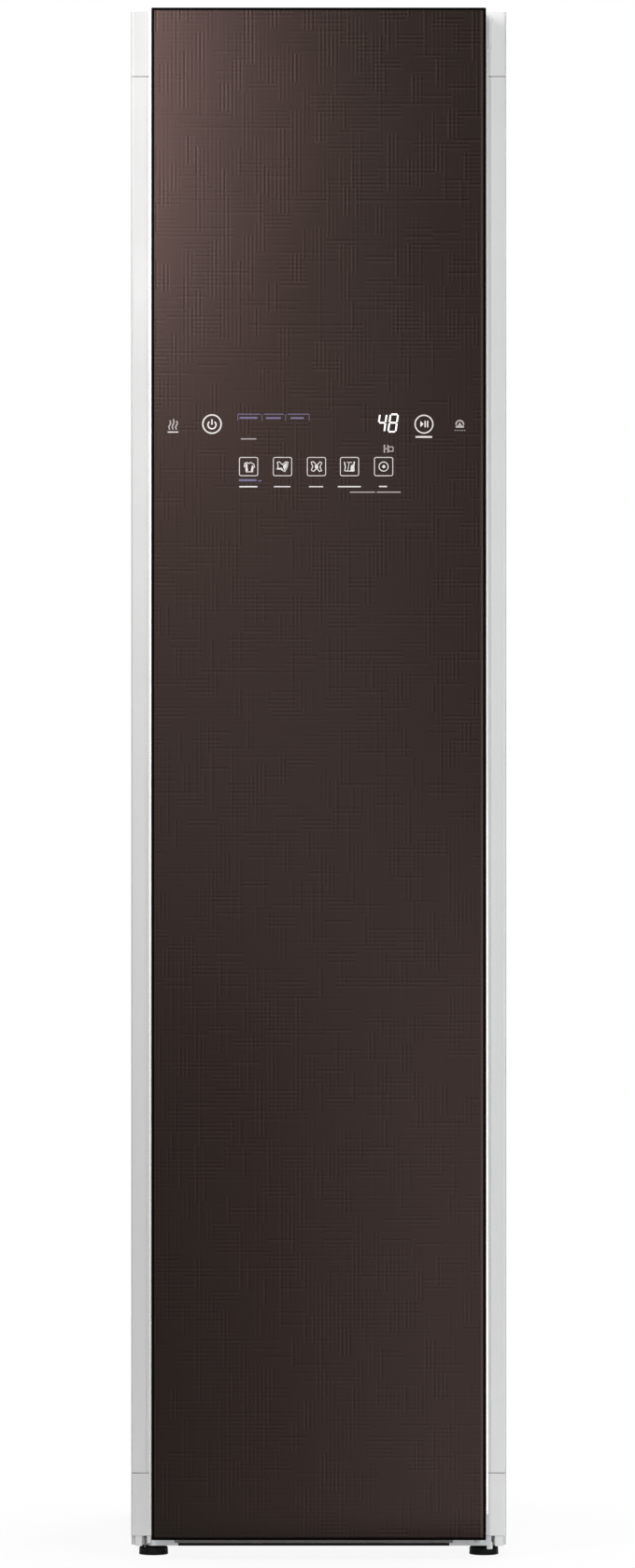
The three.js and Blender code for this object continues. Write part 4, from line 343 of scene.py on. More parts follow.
def buildEdgeWearAndShade():
    # a mask along sharp edges, broken up by noise; it lays edge wear, and on the pillars painted shade
    group, (width, amount), made = newGroup("edgeWearAndShade", {"Width": 0.0012, "Amount": 0.4}, ("Edge",))
    rounded = newNode(group, "Bevel", {"Radius": width}, samples=4)
    flat = newNode(group, "NewGeometry", {}, "Normal")
    alike = newNode(group, "VectorMath", {0: rounded, 1: flat}, "Value", operation="DOT_PRODUCT")
    bend = alike.math("MULTIPLY_ADD", -1.0, 1.0).ramp(0.01, 0.16)
    broken = objectPlace(group).noise(70.0, 4.0, 0.6).ramp(0.38, 0.62, 0.25, 1.0)
    feedAll(group, made, {"Edge": (bend * broken).math("MULTIPLY", amount, clamp=True)})


linen = {
    "pitch": 0.0048,           # from one thread to the next
    "blockWide": 0.0144,       # three threads
    "blockLong": 0.034,
    "chosen": (0.28, 0.7),     # blocks drawn below the first are bare, above the second full
    "slide": 7.0,              # how far a row of blocks may be shifted, in blocks
    "yarn": (900, 1, 900),
}


def buildLinenWeave():
    # printed linen: straight bundles of upright and level threads in blocks of uneven length
    group, (contrast,), made = newGroup("linenWeave", {"Contrast": 1.0}, ("Height", "Thread"))
    across, _, upward = objectPlace(group).parts()

    def randomOf(first, second):
        cell = newNode(group, "CombineXYZ", {"X": first, "Y": second})
        return newNode(group, "TexWhiteNoise", {"Vector": cell}, "Value")

    def bundle(side, run, shift):
        column = side.math("MULTIPLY_ADD", 1 / linen["blockWide"], shift).math("FLOOR")
        slide = randomOf(column, column) * linen["slide"]
        row = run.math("MULTIPLY_ADD", 1 / linen["blockLong"], slide).math("FLOOR")
        thread = (side * (2 * math.pi / linen["pitch"])).math("SINE")
        weight = randomOf((side * (1 / linen["pitch"])).math("FLOOR"), row)
        return thread * randomOf(column, row).ramp(*linen["chosen"]) * weight

    yarn = stretched(group, linen["yarn"]).noise(1.0, 1.0) - 0.5
    woven = bundle(across, upward, 0.3) + bundle(upward, across, 0.7) + yarn * 0.5
    thread = (woven * contrast).math("MULTIPLY_ADD", 0.5, 0.5, clamp=True)
    feedAll(group, made, {"Height": woven * 0.5 + 0.5, "Thread": thread})


def buildClothWeave():
    # plain woven cloth: crossing sine threads with uneven yarn
    group, (threads,), made = newGroup("clothWeave", {"Scale": 900.0}, ("Height", "Tone"))
    place = objectPlace(group)
    across, _, upward = place.parts()
    crossing = (across * threads).math("SINE") * (upward * threads).math("SINE")
    feedAll(group, made, {"Height": crossing * 0.5 + 0.5, "Tone": place.noise(220.0, 3.0)})


buildPaintPeel()
buildBrushing("brushingUp", (1, 1, 0.02))
buildBrushing("brushingAcross", (0.02, 1, 1))
buildZincSpangle()
buildDustFilm()
buildEdgeWearAndShade()
buildLinenWeave()
buildClothWeave()
print("shader groups:", ", ".join(groups))

# between which tones the roughness of each kind of surface runs from low to high
toneSpans = {"paintPeel": (0.25, 0.75), "brushingUp": (0.3, 0.7), "brushingAcross": (0.3, 0.7),
             "zincSpangle": (0.0, 1.0), "clothWeave": (0.3, 0.7)}
dustColor = (0.5, 0.48, 0.45)


def surfaceMaterial(name, values):
    # two tones of one surface, then edge wear and dust over them (on the pillars the edge colour is darker and paints
    # shade on the rounded edges); shader values go to its own sockets
    kind = values.get("kind", "paintPeel")
    material, tree, shader = newMaterial(name)
    height, tone = useGroup(tree, kind, ("Height", "Tone"), Scale=values["grain"], **values.get("texture", {}))
    color = tone.blend(values["color"], values["second"])
    # where the weave sinks it takes the gap colour, a painted shade between the threads
    if "gap" in values:
        color = height.blend(values["gap"], color)
    if "edgeWearAndShadeColor" in values:
        # edge wear; with the pillar's darker edge colour it paints shade on the rounded edges
        edge, = useGroup(tree, "edgeWearAndShade", ("Edge",), **values.get("edge", {}))
        color = edge.blend(color, values["edgeWearAndShadeColor"])
    dust, = useGroup(tree, "dustFilm", ("Dust",), Amount=values["dust"])
    feedAll(tree, shader, {
        "Base Color": dust.blend(color, dustColor),
        "Roughness": tone.ramp(*toneSpans[kind], *values["rough"]),
        "Normal": height.bump(values["bump"]),
        **values.get("shader", {}),
    })
    return material


# one material for each slot of the record
finishes = {
    "steel_sheet": {
        "color": (0.60, 0.60, 0.595), "second": (0.635, 0.635, 0.63), "edgeWearAndShadeColor": (0.76, 0.76, 0.75),
        "grain": 1100, "texture": {"Unevenness": 0.9}, "rough": (0.44, 0.52), "bump": 0.00006, "dust": 0.2},
    # the pillar's darker edge colour paints shade on its rounded edges
    "pillar": {
        "color": (0.70, 0.70, 0.695), "second": (0.74, 0.74, 0.735), "edgeWearAndShadeColor": (0.42, 0.42, 0.42),
        "grain": 1300, "texture": {"Unevenness": 0.9}, "rough": (0.3, 0.4), "bump": 0.00004, "dust": 0.1,
        "edge": {"Amount": 0.5, "Width": 0.0009}},
    "zinc": {
        "kind": "zincSpangle", "color": (0.385, 0.39, 0.40), "second": (0.44, 0.447, 0.458),
        "edgeWearAndShadeColor": (0.70, 0.70, 0.71), "grain": 150, "rough": (0.42, 0.52), "bump": 0.00005, "dust": 0.3,
        "edge": {"Amount": 0.5}, "shader": {"Metallic": 0.8}},
    "dark_plastic": {
        "color": (0.028, 0.026, 0.026), "second": (0.040, 0.037, 0.036), "edgeWearAndShadeColor": (0.11, 0.105, 0.10),
        "grain": 700, "rough": (0.42, 0.58), "bump": 0.0001, "dust": 0.25, "edge": {"Amount": 0.5}},
    "liner": {
        "color": (0.76, 0.76, 0.745), "second": (0.785, 0.785, 0.77), "edgeWearAndShadeColor": (0.88, 0.88, 0.86),
        "grain": 900, "texture": {"Unevenness": 0.5}, "rough": (0.34, 0.38), "bump": 0.00003, "dust": 0.04,
        "shader": {"Coat Weight": 0.15, "Coat Roughness": 0.2}},
    "pale_plastic": {
        "color": (0.60, 0.60, 0.59), "second": (0.66, 0.66, 0.65), "edgeWearAndShadeColor": (0.78, 0.78, 0.76), "grain": 800,
        "rough": (0.42, 0.56), "bump": 0.0001, "dust": 0.15},
    "lens": {
        "color": (0.92, 0.88, 0.78), "second": (0.96, 0.93, 0.84), "edgeWearAndShadeColor": (0.98, 0.96, 0.9), "grain": 500,
        "rough": (0.3, 0.42), "bump": 0.0001, "dust": 0.05,
        "shader": {"Emission Color": (1.0, 0.93, 0.8), "Emission Strength": 1.6}},
    "bright_steel": {
        "kind": "brushingAcross", "color": (0.62, 0.63, 0.64), "second": (0.76, 0.77, 0.78),
        "edgeWearAndShadeColor": (0.9, 0.9, 0.91), "grain": 420, "rough": (0.12, 0.26), "bump": 0.00003, "dust": 0.08,
        "shader": {"Metallic": 1.0}},
    "foot_rubber": {
        "color": (0.0025, 0.0025, 0.0025), "second": (0.006, 0.0057, 0.0057), "edgeWearAndShadeColor": (0.02, 0.019, 0.018),
        "grain": 1500, "texture": {"Unevenness": 1.2}, "rough": (0.5, 0.65), "bump": 0.00012, "dust": 0.02,
        "edge": {"Amount": 0.5}, "shader": {"Specular IOR Level": 0.08}},
    "grey_rubber": {
        "color": (0.30, 0.31, 0.31), "second": (0.36, 0.365, 0.365), "edgeWearAndShadeColor": (0.45, 0.45, 0.45),
        "grain": 1200, "rough": (0.6, 0.78), "bump": 0.0001, "dust": 0.2},
    "grey_plastic": {
        "color": (0.18, 0.195, 0.205), "second": (0.225, 0.24, 0.25), "edgeWearAndShadeColor": (0.36, 0.38, 0.39),
        "grain": 900, "rough": (0.4, 0.55), "bump": 0.0001, "dust": 0.2},
    "tank": {
        "color": (0.30, 0.42, 0.52), "second": (0.36, 0.48, 0.58), "edgeWearAndShadeColor": (0.62, 0.72, 0.8), "grain": 600,
        "rough": (0.12, 0.22), "bump": 0.00005, "dust": 0.1, "shader": {"Transmission Weight": 0.35, "IOR": 1.49}},
    "aluminium": {
        "kind": "brushingUp", "color": (0.60, 0.61, 0.63), "second": (0.74, 0.75, 0.77),
        "edgeWearAndShadeColor": (0.88, 0.88, 0.9), "grain": 500, "rough": (0.28, 0.42), "bump": 0.00005, "dust": 0.3,
        "shader": {"Metallic": 1.0}},
    "black_paint": {
        "color": (0.018, 0.0185, 0.02), "second": (0.03, 0.031, 0.033), "edgeWearAndShadeColor": (0.14, 0.14, 0.145),
        "grain": 500, "rough": (0.3, 0.42), "bump": 0.00012, "dust": 0.4, "edge": {"Amount": 0.5}},
    "copper": {
        "kind": "brushingUp", "color": (0.70, 0.32, 0.19), "second": (0.86, 0.45, 0.29),
        "edgeWearAndShadeColor": (0.92, 0.58, 0.42), "grain": 260, "rough": (0.22, 0.4), "bump": 0.00006, "dust": 0.2,
        "shader": {"Metallic": 1.0}},
    "board": {
        "color": (0.02, 0.10, 0.055), "second": (0.03, 0.14, 0.075), "edgeWearAndShadeColor": (0.42, 0.40, 0.25),
        "grain": 1400, "rough": (0.3, 0.45), "bump": 0.00008, "dust": 0.1, "edge": {"Amount": 0.6},
        "shader": {"Coat Weight": 0.3, "Coat Roughness": 0.2}},
    "press_cloth": {
        # its gap colour paints shade between the threads
        "kind": "clothWeave", "color": (0.56, 0.56, 0.55), "second": (0.66, 0.66, 0.65), "gap": (0.34, 0.34, 0.34),
        "grain": 2600, "rough": (0.8, 0.95), "bump": 0.0003, "dust": 0.1},
}
materials = {name: surfaceMaterial(name + "Finish", values) for name, values in finishes.items()}

glass = {
    "contrast": 1.05, "darkThread": (0.0006, 0.0006, 0.0005), "paleThread": (0.0144, 0.0144, 0.0110),
    # the fade paints the print's contrast weaker towards the lower left, where the glass mirrors little sheen
    "fade": {"across": 2.0, "upward": 0.8, "from": (-0.2, 0.6), "to": (0.45, 0.95)},
    # the pale line colour near the right edge is a painted highlight: the bevel catching light
    "bevelHighlight": (0.034, 0.029, 0.028), "highlightAt": 0.1945, "highlightFade": (0.0009, 0.00126),
    "haze": 1800.0, "rough": (0.158, 0.172), "threadRough": 0.022, "bump": 0.00002,
    "shader": {"Specular Tint": (1, 0.612, 0.575), "Specular IOR Level": 0.12},
}


def glassMaterial():
    # dark door glass: a brown ground printed with linen threads, and a painted highlight line near its right edge
    # where the bevel catches light
    material, tree, shader = newMaterial("doorGlassFinish")
    height, weave = useGroup(tree, "linenWeave", ("Height", "Thread"), Contrast=glass["contrast"])
    peel, = useGroup(tree, "paintPeel", ("Tone",), Scale=glass["haze"])
    across, _, upward = objectPlace(tree).parts()
    # the print's contrast is painted weaker towards the lower left corner, where the glass mirrors little sheen: it
    # stands in for the sheen picking out the threads
    fade = glass["fade"]
    towardsSheen = across * fade["across"] + upward * fade["upward"]
    swing = weave - 0.5
    thread = swing.math("MULTIPLY_ADD", towardsSheen.ramp(*fade["from"], *fade["to"]), 0.5, clamp=True)
    color = thread.blend(glass["darkThread"], glass["paleThread"])
    # painted highlight of the right bevel
    line = (across - glass["highlightAt"]).math("ABSOLUTE").ramp(*glass["highlightFade"], 1.0, 0.0)
    feedAll(tree, shader, {
        "Base Color": line.blend(color, glass["bevelHighlight"]),
        "Roughness": swing * glass["threadRough"] + peel.ramp(0.2, 0.8, *glass["rough"]),
        "Normal": height.bump(glass["bump"]),
        **glass["shader"],
    })
    return material


# painted shade lines on the pillars: down the rounded outer edge and in the two seams
pillarShadeLines = {
    "edge": {"from": (0.2232, 0.2241), "to": (0.0, 0.35)},
    "seams": (1.7727, 0.0993),
    "seam": {"from": (0.00036, 0.00096), "to": (0.35, 0.0)},
    "color": (0.30, 0.30, 0.30),
}


def paintPillarShade(material):
    # painted shade: a fine darker line down the rounded outer edge and in the seams between the pillars and the two
    # frames
    tree = material.node_tree
    shader = tree.nodes["Principled BSDF"]
    across, _, upward = objectPlace(tree).parts()
    edge, seam = pillarShadeLines["edge"], pillarShadeLines["seam"]
    shade = across.math("ABSOLUTE").ramp(*edge["from"], *edge["to"])
    for height in pillarShadeLines["seams"]:
        dark = (upward - height).math("ABSOLUTE").ramp(*seam["from"], *seam["to"])
        shade = shade.math("MAXIMUM", dark)
    below = Signal(tree, shader.inputs["Base Color"].links[0].from_socket)
    feedAll(tree, shader, {"Base Color": shade.blend(below, pillarShadeLines["color"])})


paintPillarShade(materials["pillar"])
materials["door_glass"] = glassMaterial()
for entry in frame["record"]["subparts"]:
    finishList = nodes[entry["node"]].data.materials
    finishList.clear()
    finishList.append(materials[entry["material_slot"]])
print("materials:", len(materials))


# shapes shared by the pieces
def loftRings(bm, rings, capStart=True, capEnd=True, materialIndex=0):
    # rings are lists of points with equal counts, joined one after the other
    made = [[bm.verts.new(point) for point in ring] for ring in rings]
    faces = []
    for first, second in zip(made, made[1:]):
        for index in range(len(first)):
            after = (index + 1) % len(first)
            faces.append(bm.faces.new((first[index], first[after], second[after], second[index])))
    faces += [bm.faces.new(ring) for ring, wanted in ((made[0], capStart), (made[-1], capEnd)) if wanted]
    for face in faces:
        face.material_index = materialIndex


def roundedLoop(centre, half, radius, depth, steps=4):
    # rounded rectangle in X and Z at one depth along Y
    points = []
    for signX, signZ, start in ((1, 1, 0), (-1, 1, 90), (-1, -1, 180), (1, -1, 270)):
        for step in range(steps + 1):
            angle = math.radians(start + 90 * step / steps)
            points.append((
                centre[0] + signX * (half[0] - radius) + math.cos(angle) * radius,
                depth,
                centre[1] + signZ * (half[1] - radius) + math.sin(angle) * radius,
            ))
    return points


def circle(radius, sides):
    turns = [2 * math.pi * index / sides for index in range(sides)]
    return [(math.cos(turn) * radius, math.sin(turn) * radius) for turn in turns]


def axisPlace(centre, axis, turn=0.0):
    # from a drawing round the upright axis to one round an axis of any direction
    swung = Vector(axis).to_track_quat("Z", "Y").to_matrix().to_4x4()
    return Matrix.Translation(Vector(centre)) @ swung @ Matrix.Rotation(turn, 4, "Z")


def turnedRings(profile, sides, place):
    # profile of (radius, distance along the axis)
    return [[place @ Vector((x, y, height)) for x, y in circle(radius, sides)] for radius, height in profile]


def softBar(spanX, spanY, spanZ, chamfer):
    # rings of a bar with all its edges broken by a small chamfer
    rings = []
    steps = ((spanY[0], chamfer), (spanY[0] + chamfer, 0.0), (spanY[1] - chamfer, 0.0), (spanY[1], chamfer))
    for depth, inset in steps:
        left, right = spanX[0] + inset, spanX[1] - inset
        low, high = spanZ[0] + inset, spanZ[1] - inset
        cut = min(chamfer, (right - left) * 0.3, (high - low) * 0.3)
        outline = ((left + cut, low), (right - cut, low), (right, low + cut), (right, high - cut),
                   (right - cut, high), (left + cut, high), (left, high - cut), (left, low + cut))
        rings.append([(x, depth, z) for x, z in outline])
    return rings


# (inset, share of the rise) from a bead's foot to its crown
broadSteps = ((0.0, 0.0), (0.0012, 0.35), (0.0030, 0.85), (0.0046, 1.0))
hoodSteps = ((0.0, 0.0), (0.0004, 0.5), (0.0011, 0.9), (0.0017, 1.0))


def raisedBead(centre, half, depths, steps=broadSteps):
    # rings of a long pressed bead with round ends
    rings = []
    for inset, share in steps:
        size = (half[0] - inset, half[1] - inset)
        depth = depths[0] + (depths[1] - depths[0]) * share
        rings.append(roundedLoop(centre, size, min(half) - inset - 0.0001, depth, 8))
    return rings


def lofted(shells):
    bm = bmesh.new()
    for rings in shells:
        loftRings(bm, rings)
    return bm


def barPiece(name, spans, chamfer, slotName, finishList=None):
    bars = [softBar(*span, chamfer) for span in spans]
    addPiece(name, lofted(bars), "cabinet", slotName, 30, finishList)


screwShape = {
    "profile": [(0.0034, -0.0003), (0.0034, 0.000325), (0.00306, 0.00065), (0.002108, 0.001144), (0.001428, 0.0013)],
    "recess": {"depth": 0.0006, "narrow": 0.000408, "arm": 0.00068, "sharp": 6, "floor": 0.7},
    "sides": 24,
    "turnEach": 1.3,
}


def screwHead(bm, centre, outward, turn):
    # domed washer head on a face that looks along outward, with a plus-shaped well in its flat top
    place = axisPlace(centre, outward, turn)
    recess, sides = screwShape["recess"], screwShape["sides"]
    rings = turnedRings(screwShape["profile"], sides, place)
    loftRings(bm, rings, capEnd=False)
    rise = screwShape["profile"][-1][1]
    well = []
    for x, y in circle(1.0, sides):
        reach = recess["narrow"] + recess["arm"] * abs(x * x - y * y) ** recess["sharp"]
        well.append((x * reach, y * reach))
    share = recess["floor"]
    mouth = [place @ Vector((x, y, rise)) for x, y in well]
    floor = [place @ Vector((x * share, y * share, rise - recess["depth"])) for x, y in well]
    loftRings(bm, [rings[-1], mouth, floor], capStart=False)


def screwRow(name, places, outward):
    bm = bmesh.new()
    for index, centre in enumerate(places):
        screwHead(bm, centre, outward, index * screwShape["turnEach"])
    addPiece(name, bm, "cabinet", "bright_steel", 35)


def evenSteps(points, step):
    # points at even steps along a path from its start, each with its direction, and the path's length
    pairs = list(zip(points, points[1:]))
    total = sum((end - start).length for start, end in pairs)
    count = round(total / step)
    placed, travelled = [], 0.0
    for start, end in pairs:
        length = (end - start).length
        while length > 1e-9 and len(placed) < count and len(placed) * total / count <= travelled + length:
            share = (len(placed) * total / count - travelled) / length
            placed.append((start.lerp(end, share), (end - start).normalized()))
        travelled += length
    return placed, total


# door sheet
sheetSize = {
    "half": 0.1995, "z": (0.024, 1.850), "corner": 0.0012, "break": 0.0004,
    "front": doorFront + 0.0004, "back": doorFront + 0.004,
    # inset from the rim and distance behind the front: ground side, wide polished bevel, flat face
    "bevel": [(0.0, 0.0014), (0.0003, 0.0010), (0.0008, 0.0006), (0.0024, 0.00012), (0.0034, 0.0)],
    "rim": {"color": (0.0006, 0.0006, 0.0006), "second": (0.0012, 0.0011, 0.0011), "edgeWearAndShadeColor": (0.004, 0.004, 0.004),
            "grain": 1600, "rough": (0.5, 0.6), "bump": 0.00002, "edge": {"Amount": 0.3}, "dust": 0.0,
            "shader": {"Specular IOR Level": 0.02}},
}


def buildDoorSheet():
    low, high = sheetSize["z"]
    edge = sheetSize["break"]
    steps = [(edge, sheetSize["back"]), (0.0, sheetSize["back"] - edge)]
    steps += [(inset, sheetSize["front"] + behind) for inset, behind in sheetSize["bevel"]]
    rings = []
    for inset, depth in steps:
        half = (sheetSize["half"] - inset, (high - low) / 2 - inset)
        rings.append(roundedLoop((0, (low + high) / 2), half, max(sheetSize["corner"] - inset, 0.0002), depth))
    bm = bmesh.new()
    loftRings(bm, rings, materialIndex=1)
    front = max(bm.faces, key=lambda face: (-face.calc_center_median().y, face.calc_area()))
    front.material_index = 0
    finishList = [materials["door_glass"], surfaceMaterial("glassRimFinish", sheetSize["rim"])]
    addPiece("doorSheet", bm, "door", "door_glass", 2, finishList, "door_glass")


# print and lit signs on the door, drawn in pixels of the photograph
printDepth = (doorFront + 0.00005, doorFront + 0.0007)


def toFace(point):
    return Vector((photoX(point[0]), photoZ(point[1])))


def shifted(points, centre):
    return [(centre[0] + x, centre[1] + y) for x, y in points]


def filled(points):
    return [[toFace(point) for point in points]]


def strokes(points, width, closed=False):
    # mitred strip along a path
    path = [toFace(point) for point in points]
    half = width * photo["metresPerPixel"] / 2
    runs = [(end - start).normalized() for start, end in zip(path, path[1:] + path[:1])]
    sides = []
    for index, here in enumerate(path):
        before, after = runs[index - 1], runs[index]
        if not closed and index == 0:
            before = after
        if not closed and index == len(path) - 1:
            after = before
        normal, first = (Vector((-run.y, run.x)) for run in (before + after, before))
        normal = normal.normalized() if normal.length > 1e-6 else first
        reach = half / max(normal.dot(first), 0.45)
        sides.append((here + normal * reach, here - normal * reach))
    pairs = list(zip(sides, sides[1:] + sides[:1]))
    return [[a[0], b[0], b[1], a[1]] for a, b in (pairs if closed else pairs[:-1])]


def arc(centre, radius, start, end, steps):
    turns = [math.radians(start + (end - start) * index / steps) for index in range(steps + 1)]
    return [(centre[0] + radius * math.cos(turn), centre[1] - radius * math.sin(turn)) for turn in turns]


def ring(centre, radius, steps=40):
    return arc(centre, radius, 0, 360, steps)[:-1]


def bar(x0, x1, y, height):
    low, high = y + height / 2, y - height / 2
    return filled([(x0, high), (x1, high), (x1, low), (x0, low)])


def roundedSquare(centre, half, radius):
    return [(x, y) for x, _, y in roundedLoop(centre, (half, half), radius, 0.0)]


inks = {
    "whiteInk": {"color": (0.70, 0.66, 0.65), "glow": 0.15, "worn": 0.8},
    "dimInk": {"color": (0.40, 0.36, 0.355), "glow": 0.06, "worn": 0.75},
    "violetInk": {"color": (0.125, 0.105, 0.215), "glow": 0.13, "worn": 0.7},
    "digitGlow": {"color": (0.88, 0.87, 0.85), "glow": 0.75, "worn": 0.9},
}


def printMaterial(name):
    # screen print: slightly uneven ink that can be lit from behind
    ink = inks[name]
    material, tree, shader = newMaterial(name)
    height, tone = useGroup(tree, "paintPeel", ("Height", "Tone"), Scale=2600.0, Unevenness=1.2)
    shade = tone.blend([part * ink["worn"] for part in ink["color"]], ink["color"])
    feedAll(tree, shader, {
        "Base Color": shade,
        "Emission Color": shade,
        "Emission Strength": ink["glow"],
        "Roughness": tone.ramp(0.2, 0.8, 0.42, 0.55),
        "Normal": height.bump(0.00002),
    })
    return material


def printPiece(name, ink, outlines):
    # each outline gets a front face and a rim that sinks a little into the glass
    bm = bmesh.new()
    for outline in outlines:
        front, back = ([bm.verts.new((p.x, depth, p.y)) for p in outline] for depth in printDepth)
        bm.faces.new(front)
        for index in range(len(front)):
            after = (index + 1) % len(front)
            bm.faces.new((front[index], back[index], back[after], front[after]))
    addPiece(name, bm, "door", "door_glass", None, [printMaterial(ink)])


# garment drawings for the square keys, from each key's centre; a stroke is (points, width, closed)
keys = {"row": 499.3, "half": 9.8, "corner": 1.8, "line": 0.75}
garments = {
    "shirt": {"at": 266.2,
              "strokes": [([(-4.2, -3.6), (-1.6, -4.4), (0.2, -3.2), (2.0, -4.4), (5.6, -2.6), (6.4, 0.6), (4.8, 1.0),
                            (4.4, 5.6), (-2.8, 5.6), (-3.0, 0.4), (-4.6, 0.2)], 1.1, True)],
              "fills": [[(-3.6, -2.6), (-1.6, -3.4), (-0.6, 4.6), (-2.4, 4.6)],
                        [(3.6, -1.4), (5.2, -0.8), (3.6, 5.0), (2.4, 5.0)]]},
    "coat": {"at": 302.5,
             "strokes": [([(-5.6, -4.6), (-3.4, -5.2), (0, -2.0), (3.6, -5.2), (5.8, -4.6), (5.0, 0.6), (2.6, 5.4),
                           (-2.0, 3.0), (-5.8, 2.6), (-4.6, -0.4)], 1.1, True)],
             "fills": [[(-5.4, 1.6), (-1.0, 1.2), (0.8, 3.2), (-1.4, 3.6)],
                       [(0.4, -0.8), (4.6, -4.4), (4.0, 0.6), (1.8, 4.2)]]},
    "crossed": {"at": 338.9,
                "strokes": [([(-6.0, -4.8), (-3.0, -5.2), (0.2, -1.2), (3.6, -5.0), (6.0, -4.2)], 1.2, False),
                            ([(-5.8, 3.8), (-3.0, 5.2), (0.4, 1.6), (3.0, 5.2), (5.8, 4.4)], 1.2, False),
                            ([(-5.8, -4.6), (-4.0, 0.2), (-5.6, 3.8)], 1.2, False),
                            ([(5.8, -4.2), (3.8, 0.4), (5.6, 4.4)], 1.2, False)],
                "fills": [[(-1.8, -1.6), (1.6, -1.8), (1.8, 1.8), (-1.6, 1.8)]]},
    "suit": {"at": 374.3,
             "strokes": [([(-5.6, -5.0), (-4.4, 0.0), (-5.2, 4.6)], 1.5, False),
                         ([(5.2, -5.4), (4.4, 0.2), (4.8, 4.8)], 1.8, False),
                         ([(-5.4, 4.6), (4.8, 5.0)], 1.2, False),
                         ([(-3.0, -4.4), (0.2, -4.6), (3.0, -4.4)], 0.9, False),
                         ([(-0.4, -4.0), (-1.8, 4.2)], 0.9, False)],
             "fills": [[(1.4, -0.6), (3.6, -2.6), (3.8, 4.4), (1.0, 4.4)]]},
    "clock": {"at": 410.8, "strokes": [(ring((0, 0), 4.9, 26), 1.2, True)], "fills": [ring((0.2, 0), 1.7, 14)]},
}
# fine lines and tabs as (left, right, row, height)
bars = {
    "white": [(256.3, 275.6, 520.8, 1.4), (293.3, 311.0, 520.8, 1.1), (330.9, 346.0, 520.8, 1.1),
              (361.7, 386.5, 520.8, 1.3), (405.9, 414.4, 520.6, 1.3), (445.0, 462.7, 467.6, 1.8),
              (179.6, 190.8, 462.4, 1.2)],
    "dim": [(374.7, 401.6, 526.7, 1.1), (403.6, 429.0, 526.7, 1.1), (257.9, 274.4, 469.7, 1.2)],
    "violet": [(254.8, 279.0, 443.2, 0.8), (256.6, 275.6, 447.2, 1.9), (282.6, 304.0, 443.2, 0.8),
               (284.8, 300.6, 447.4, 1.8), (308.0, 330.8, 443.2, 0.8), (311.2, 325.4, 447.4, 1.8),
               (255.8, 274.6, 513.9, 2.2), (276.4, 280.0, 514.6, 1.2), (254.4, 254.9, 446.8, 7.2),
               (280.5, 281.0, 446.8, 7.2), (305.6, 306.1, 446.8, 7.2), (330.8, 331.3, 446.8, 7.2)],
}
# slanted figures made of straight bars, between a left and a right edge
figures = {
    "four": {"x": (405.6, 412.8), "bars": ("topLeft", "topRight", "middle", "lowRight")},
    "eight": {"x": (417.0, 425.0), "bars": ("topLeft", "topRight", "middle", "lowRight", "lowLeft", "top", "bottom")},
    "rows": (443.4, 452.4, 462.0), "slant": 0.14, "width": 1.7, "gap": 0.7,
}
# each bar's start as (edge, row), and the step to its end
figureBars = {
    "top": (0, 0, 1, 0), "middle": (0, 1, 1, 0), "bottom": (0, 2, 1, 0), "topLeft": (0, 0, 0, 1),
    "topRight": (1, 0, 0, 1), "lowLeft": (0, 1, 0, 1), "lowRight": (1, 1, 0, 1),
}


def barsOf(tone):
    return [outline for values in bars[tone] for outline in bar(*values)]


def whiteSigns():
    made = barsOf("white")
    for drawing in garments.values():
        at = (drawing["at"], keys["row"])
        made += strokes(roundedSquare(at, keys["half"], keys["corner"]), keys["line"], True)
        for points, width, closed in drawing["strokes"]:
            made += strokes(shifted(points, at), width * keys["line"], closed)
        for points in drawing["fills"]:
            made += filled(shifted(points, at))
    # power key: ring, broken inner ring and upright stroke
    made += strokes(ring((227.0, 453.8), 9.8), 1.5, True)
    made += strokes(arc((227.0, 454.6), 4.3, 130, 410, 24), 1.5)
    made += strokes([(227.0, 448.6), (227.0, 454.6)], 1.5)
    # start and pause key
    made += strokes(ring((454.0, 453.9), 9.5), 1.3, True)
    made += filled([(450.2, 450.4), (453.6, 453.8), (450.2, 457.2)])
    made += bar(454.6, 455.9, 453.8, 7.0) + bar(457.2, 458.6, 453.8, 7.0)
    return made


def dimSigns():
    made = barsOf("dim")
    # three rising wisps over a line
    for x, top in ((181.8, 449.8), (185.4, 448.6), (189.0, 450.4)):
        made += strokes([(x + math.sin(i / 8 * 6.3) * 0.9, top + (459.6 - top) * i / 8) for i in range(9)], 1.5)
    # small hood over a slab, with a row of dots under it
    made += strokes(arc((492.4, 454.0), 4.0, -10, 190, 16), 1.5) + bar(488.0, 496.8, 456.6, 2.2)
    made += filled([(490.0, 455.4), (492.4, 451.8), (494.8, 455.4)])
    for dot in range(5):
        made += filled(ring((487.6 + dot * 2.5, 460.6), 0.6, 8))
    # small frame with an upright pair beside it
    made += strokes([(411.6, 476.0), (411.6, 484.6)], 1.4) + strokes([(415.4, 476.0), (415.4, 484.6)], 1.2)
    made += strokes([(411.6, 480.2), (415.4, 480.2)], 1.2)
    return made + strokes(roundedSquare((418.6, 480.6), 2.4, 0.6), 1.0, True)


def digitSigns():
    rows, gap = figures["rows"], figures["gap"]
    made = []
    for name in ("four", "eight"):
        edges = figures[name]["x"]
        for part in figures[name]["bars"]:
            edge, row, right, down = figureBars[part]
            start = (edges[edge] + gap * right, rows[row] + gap * down)
            end = (edges[edge + right] - gap * right, rows[row + down] - gap * down)
            leaned = [(x + (rows[1] - y) * figures["slant"], y) for x, y in (start, end)]
            made += strokes(leaned, figures["width"])
    return made


buildDoorSheet()
printPiece("doorPrint", "whiteInk", whiteSigns())
printPiece("doorPrintDim", "dimInk", dimSigns())
printPiece("doorPrintViolet", "violetInk", barsOf("violet"))
printPiece("doorDigits", "digitGlow", digitSigns())
print("door sheet and print ready")

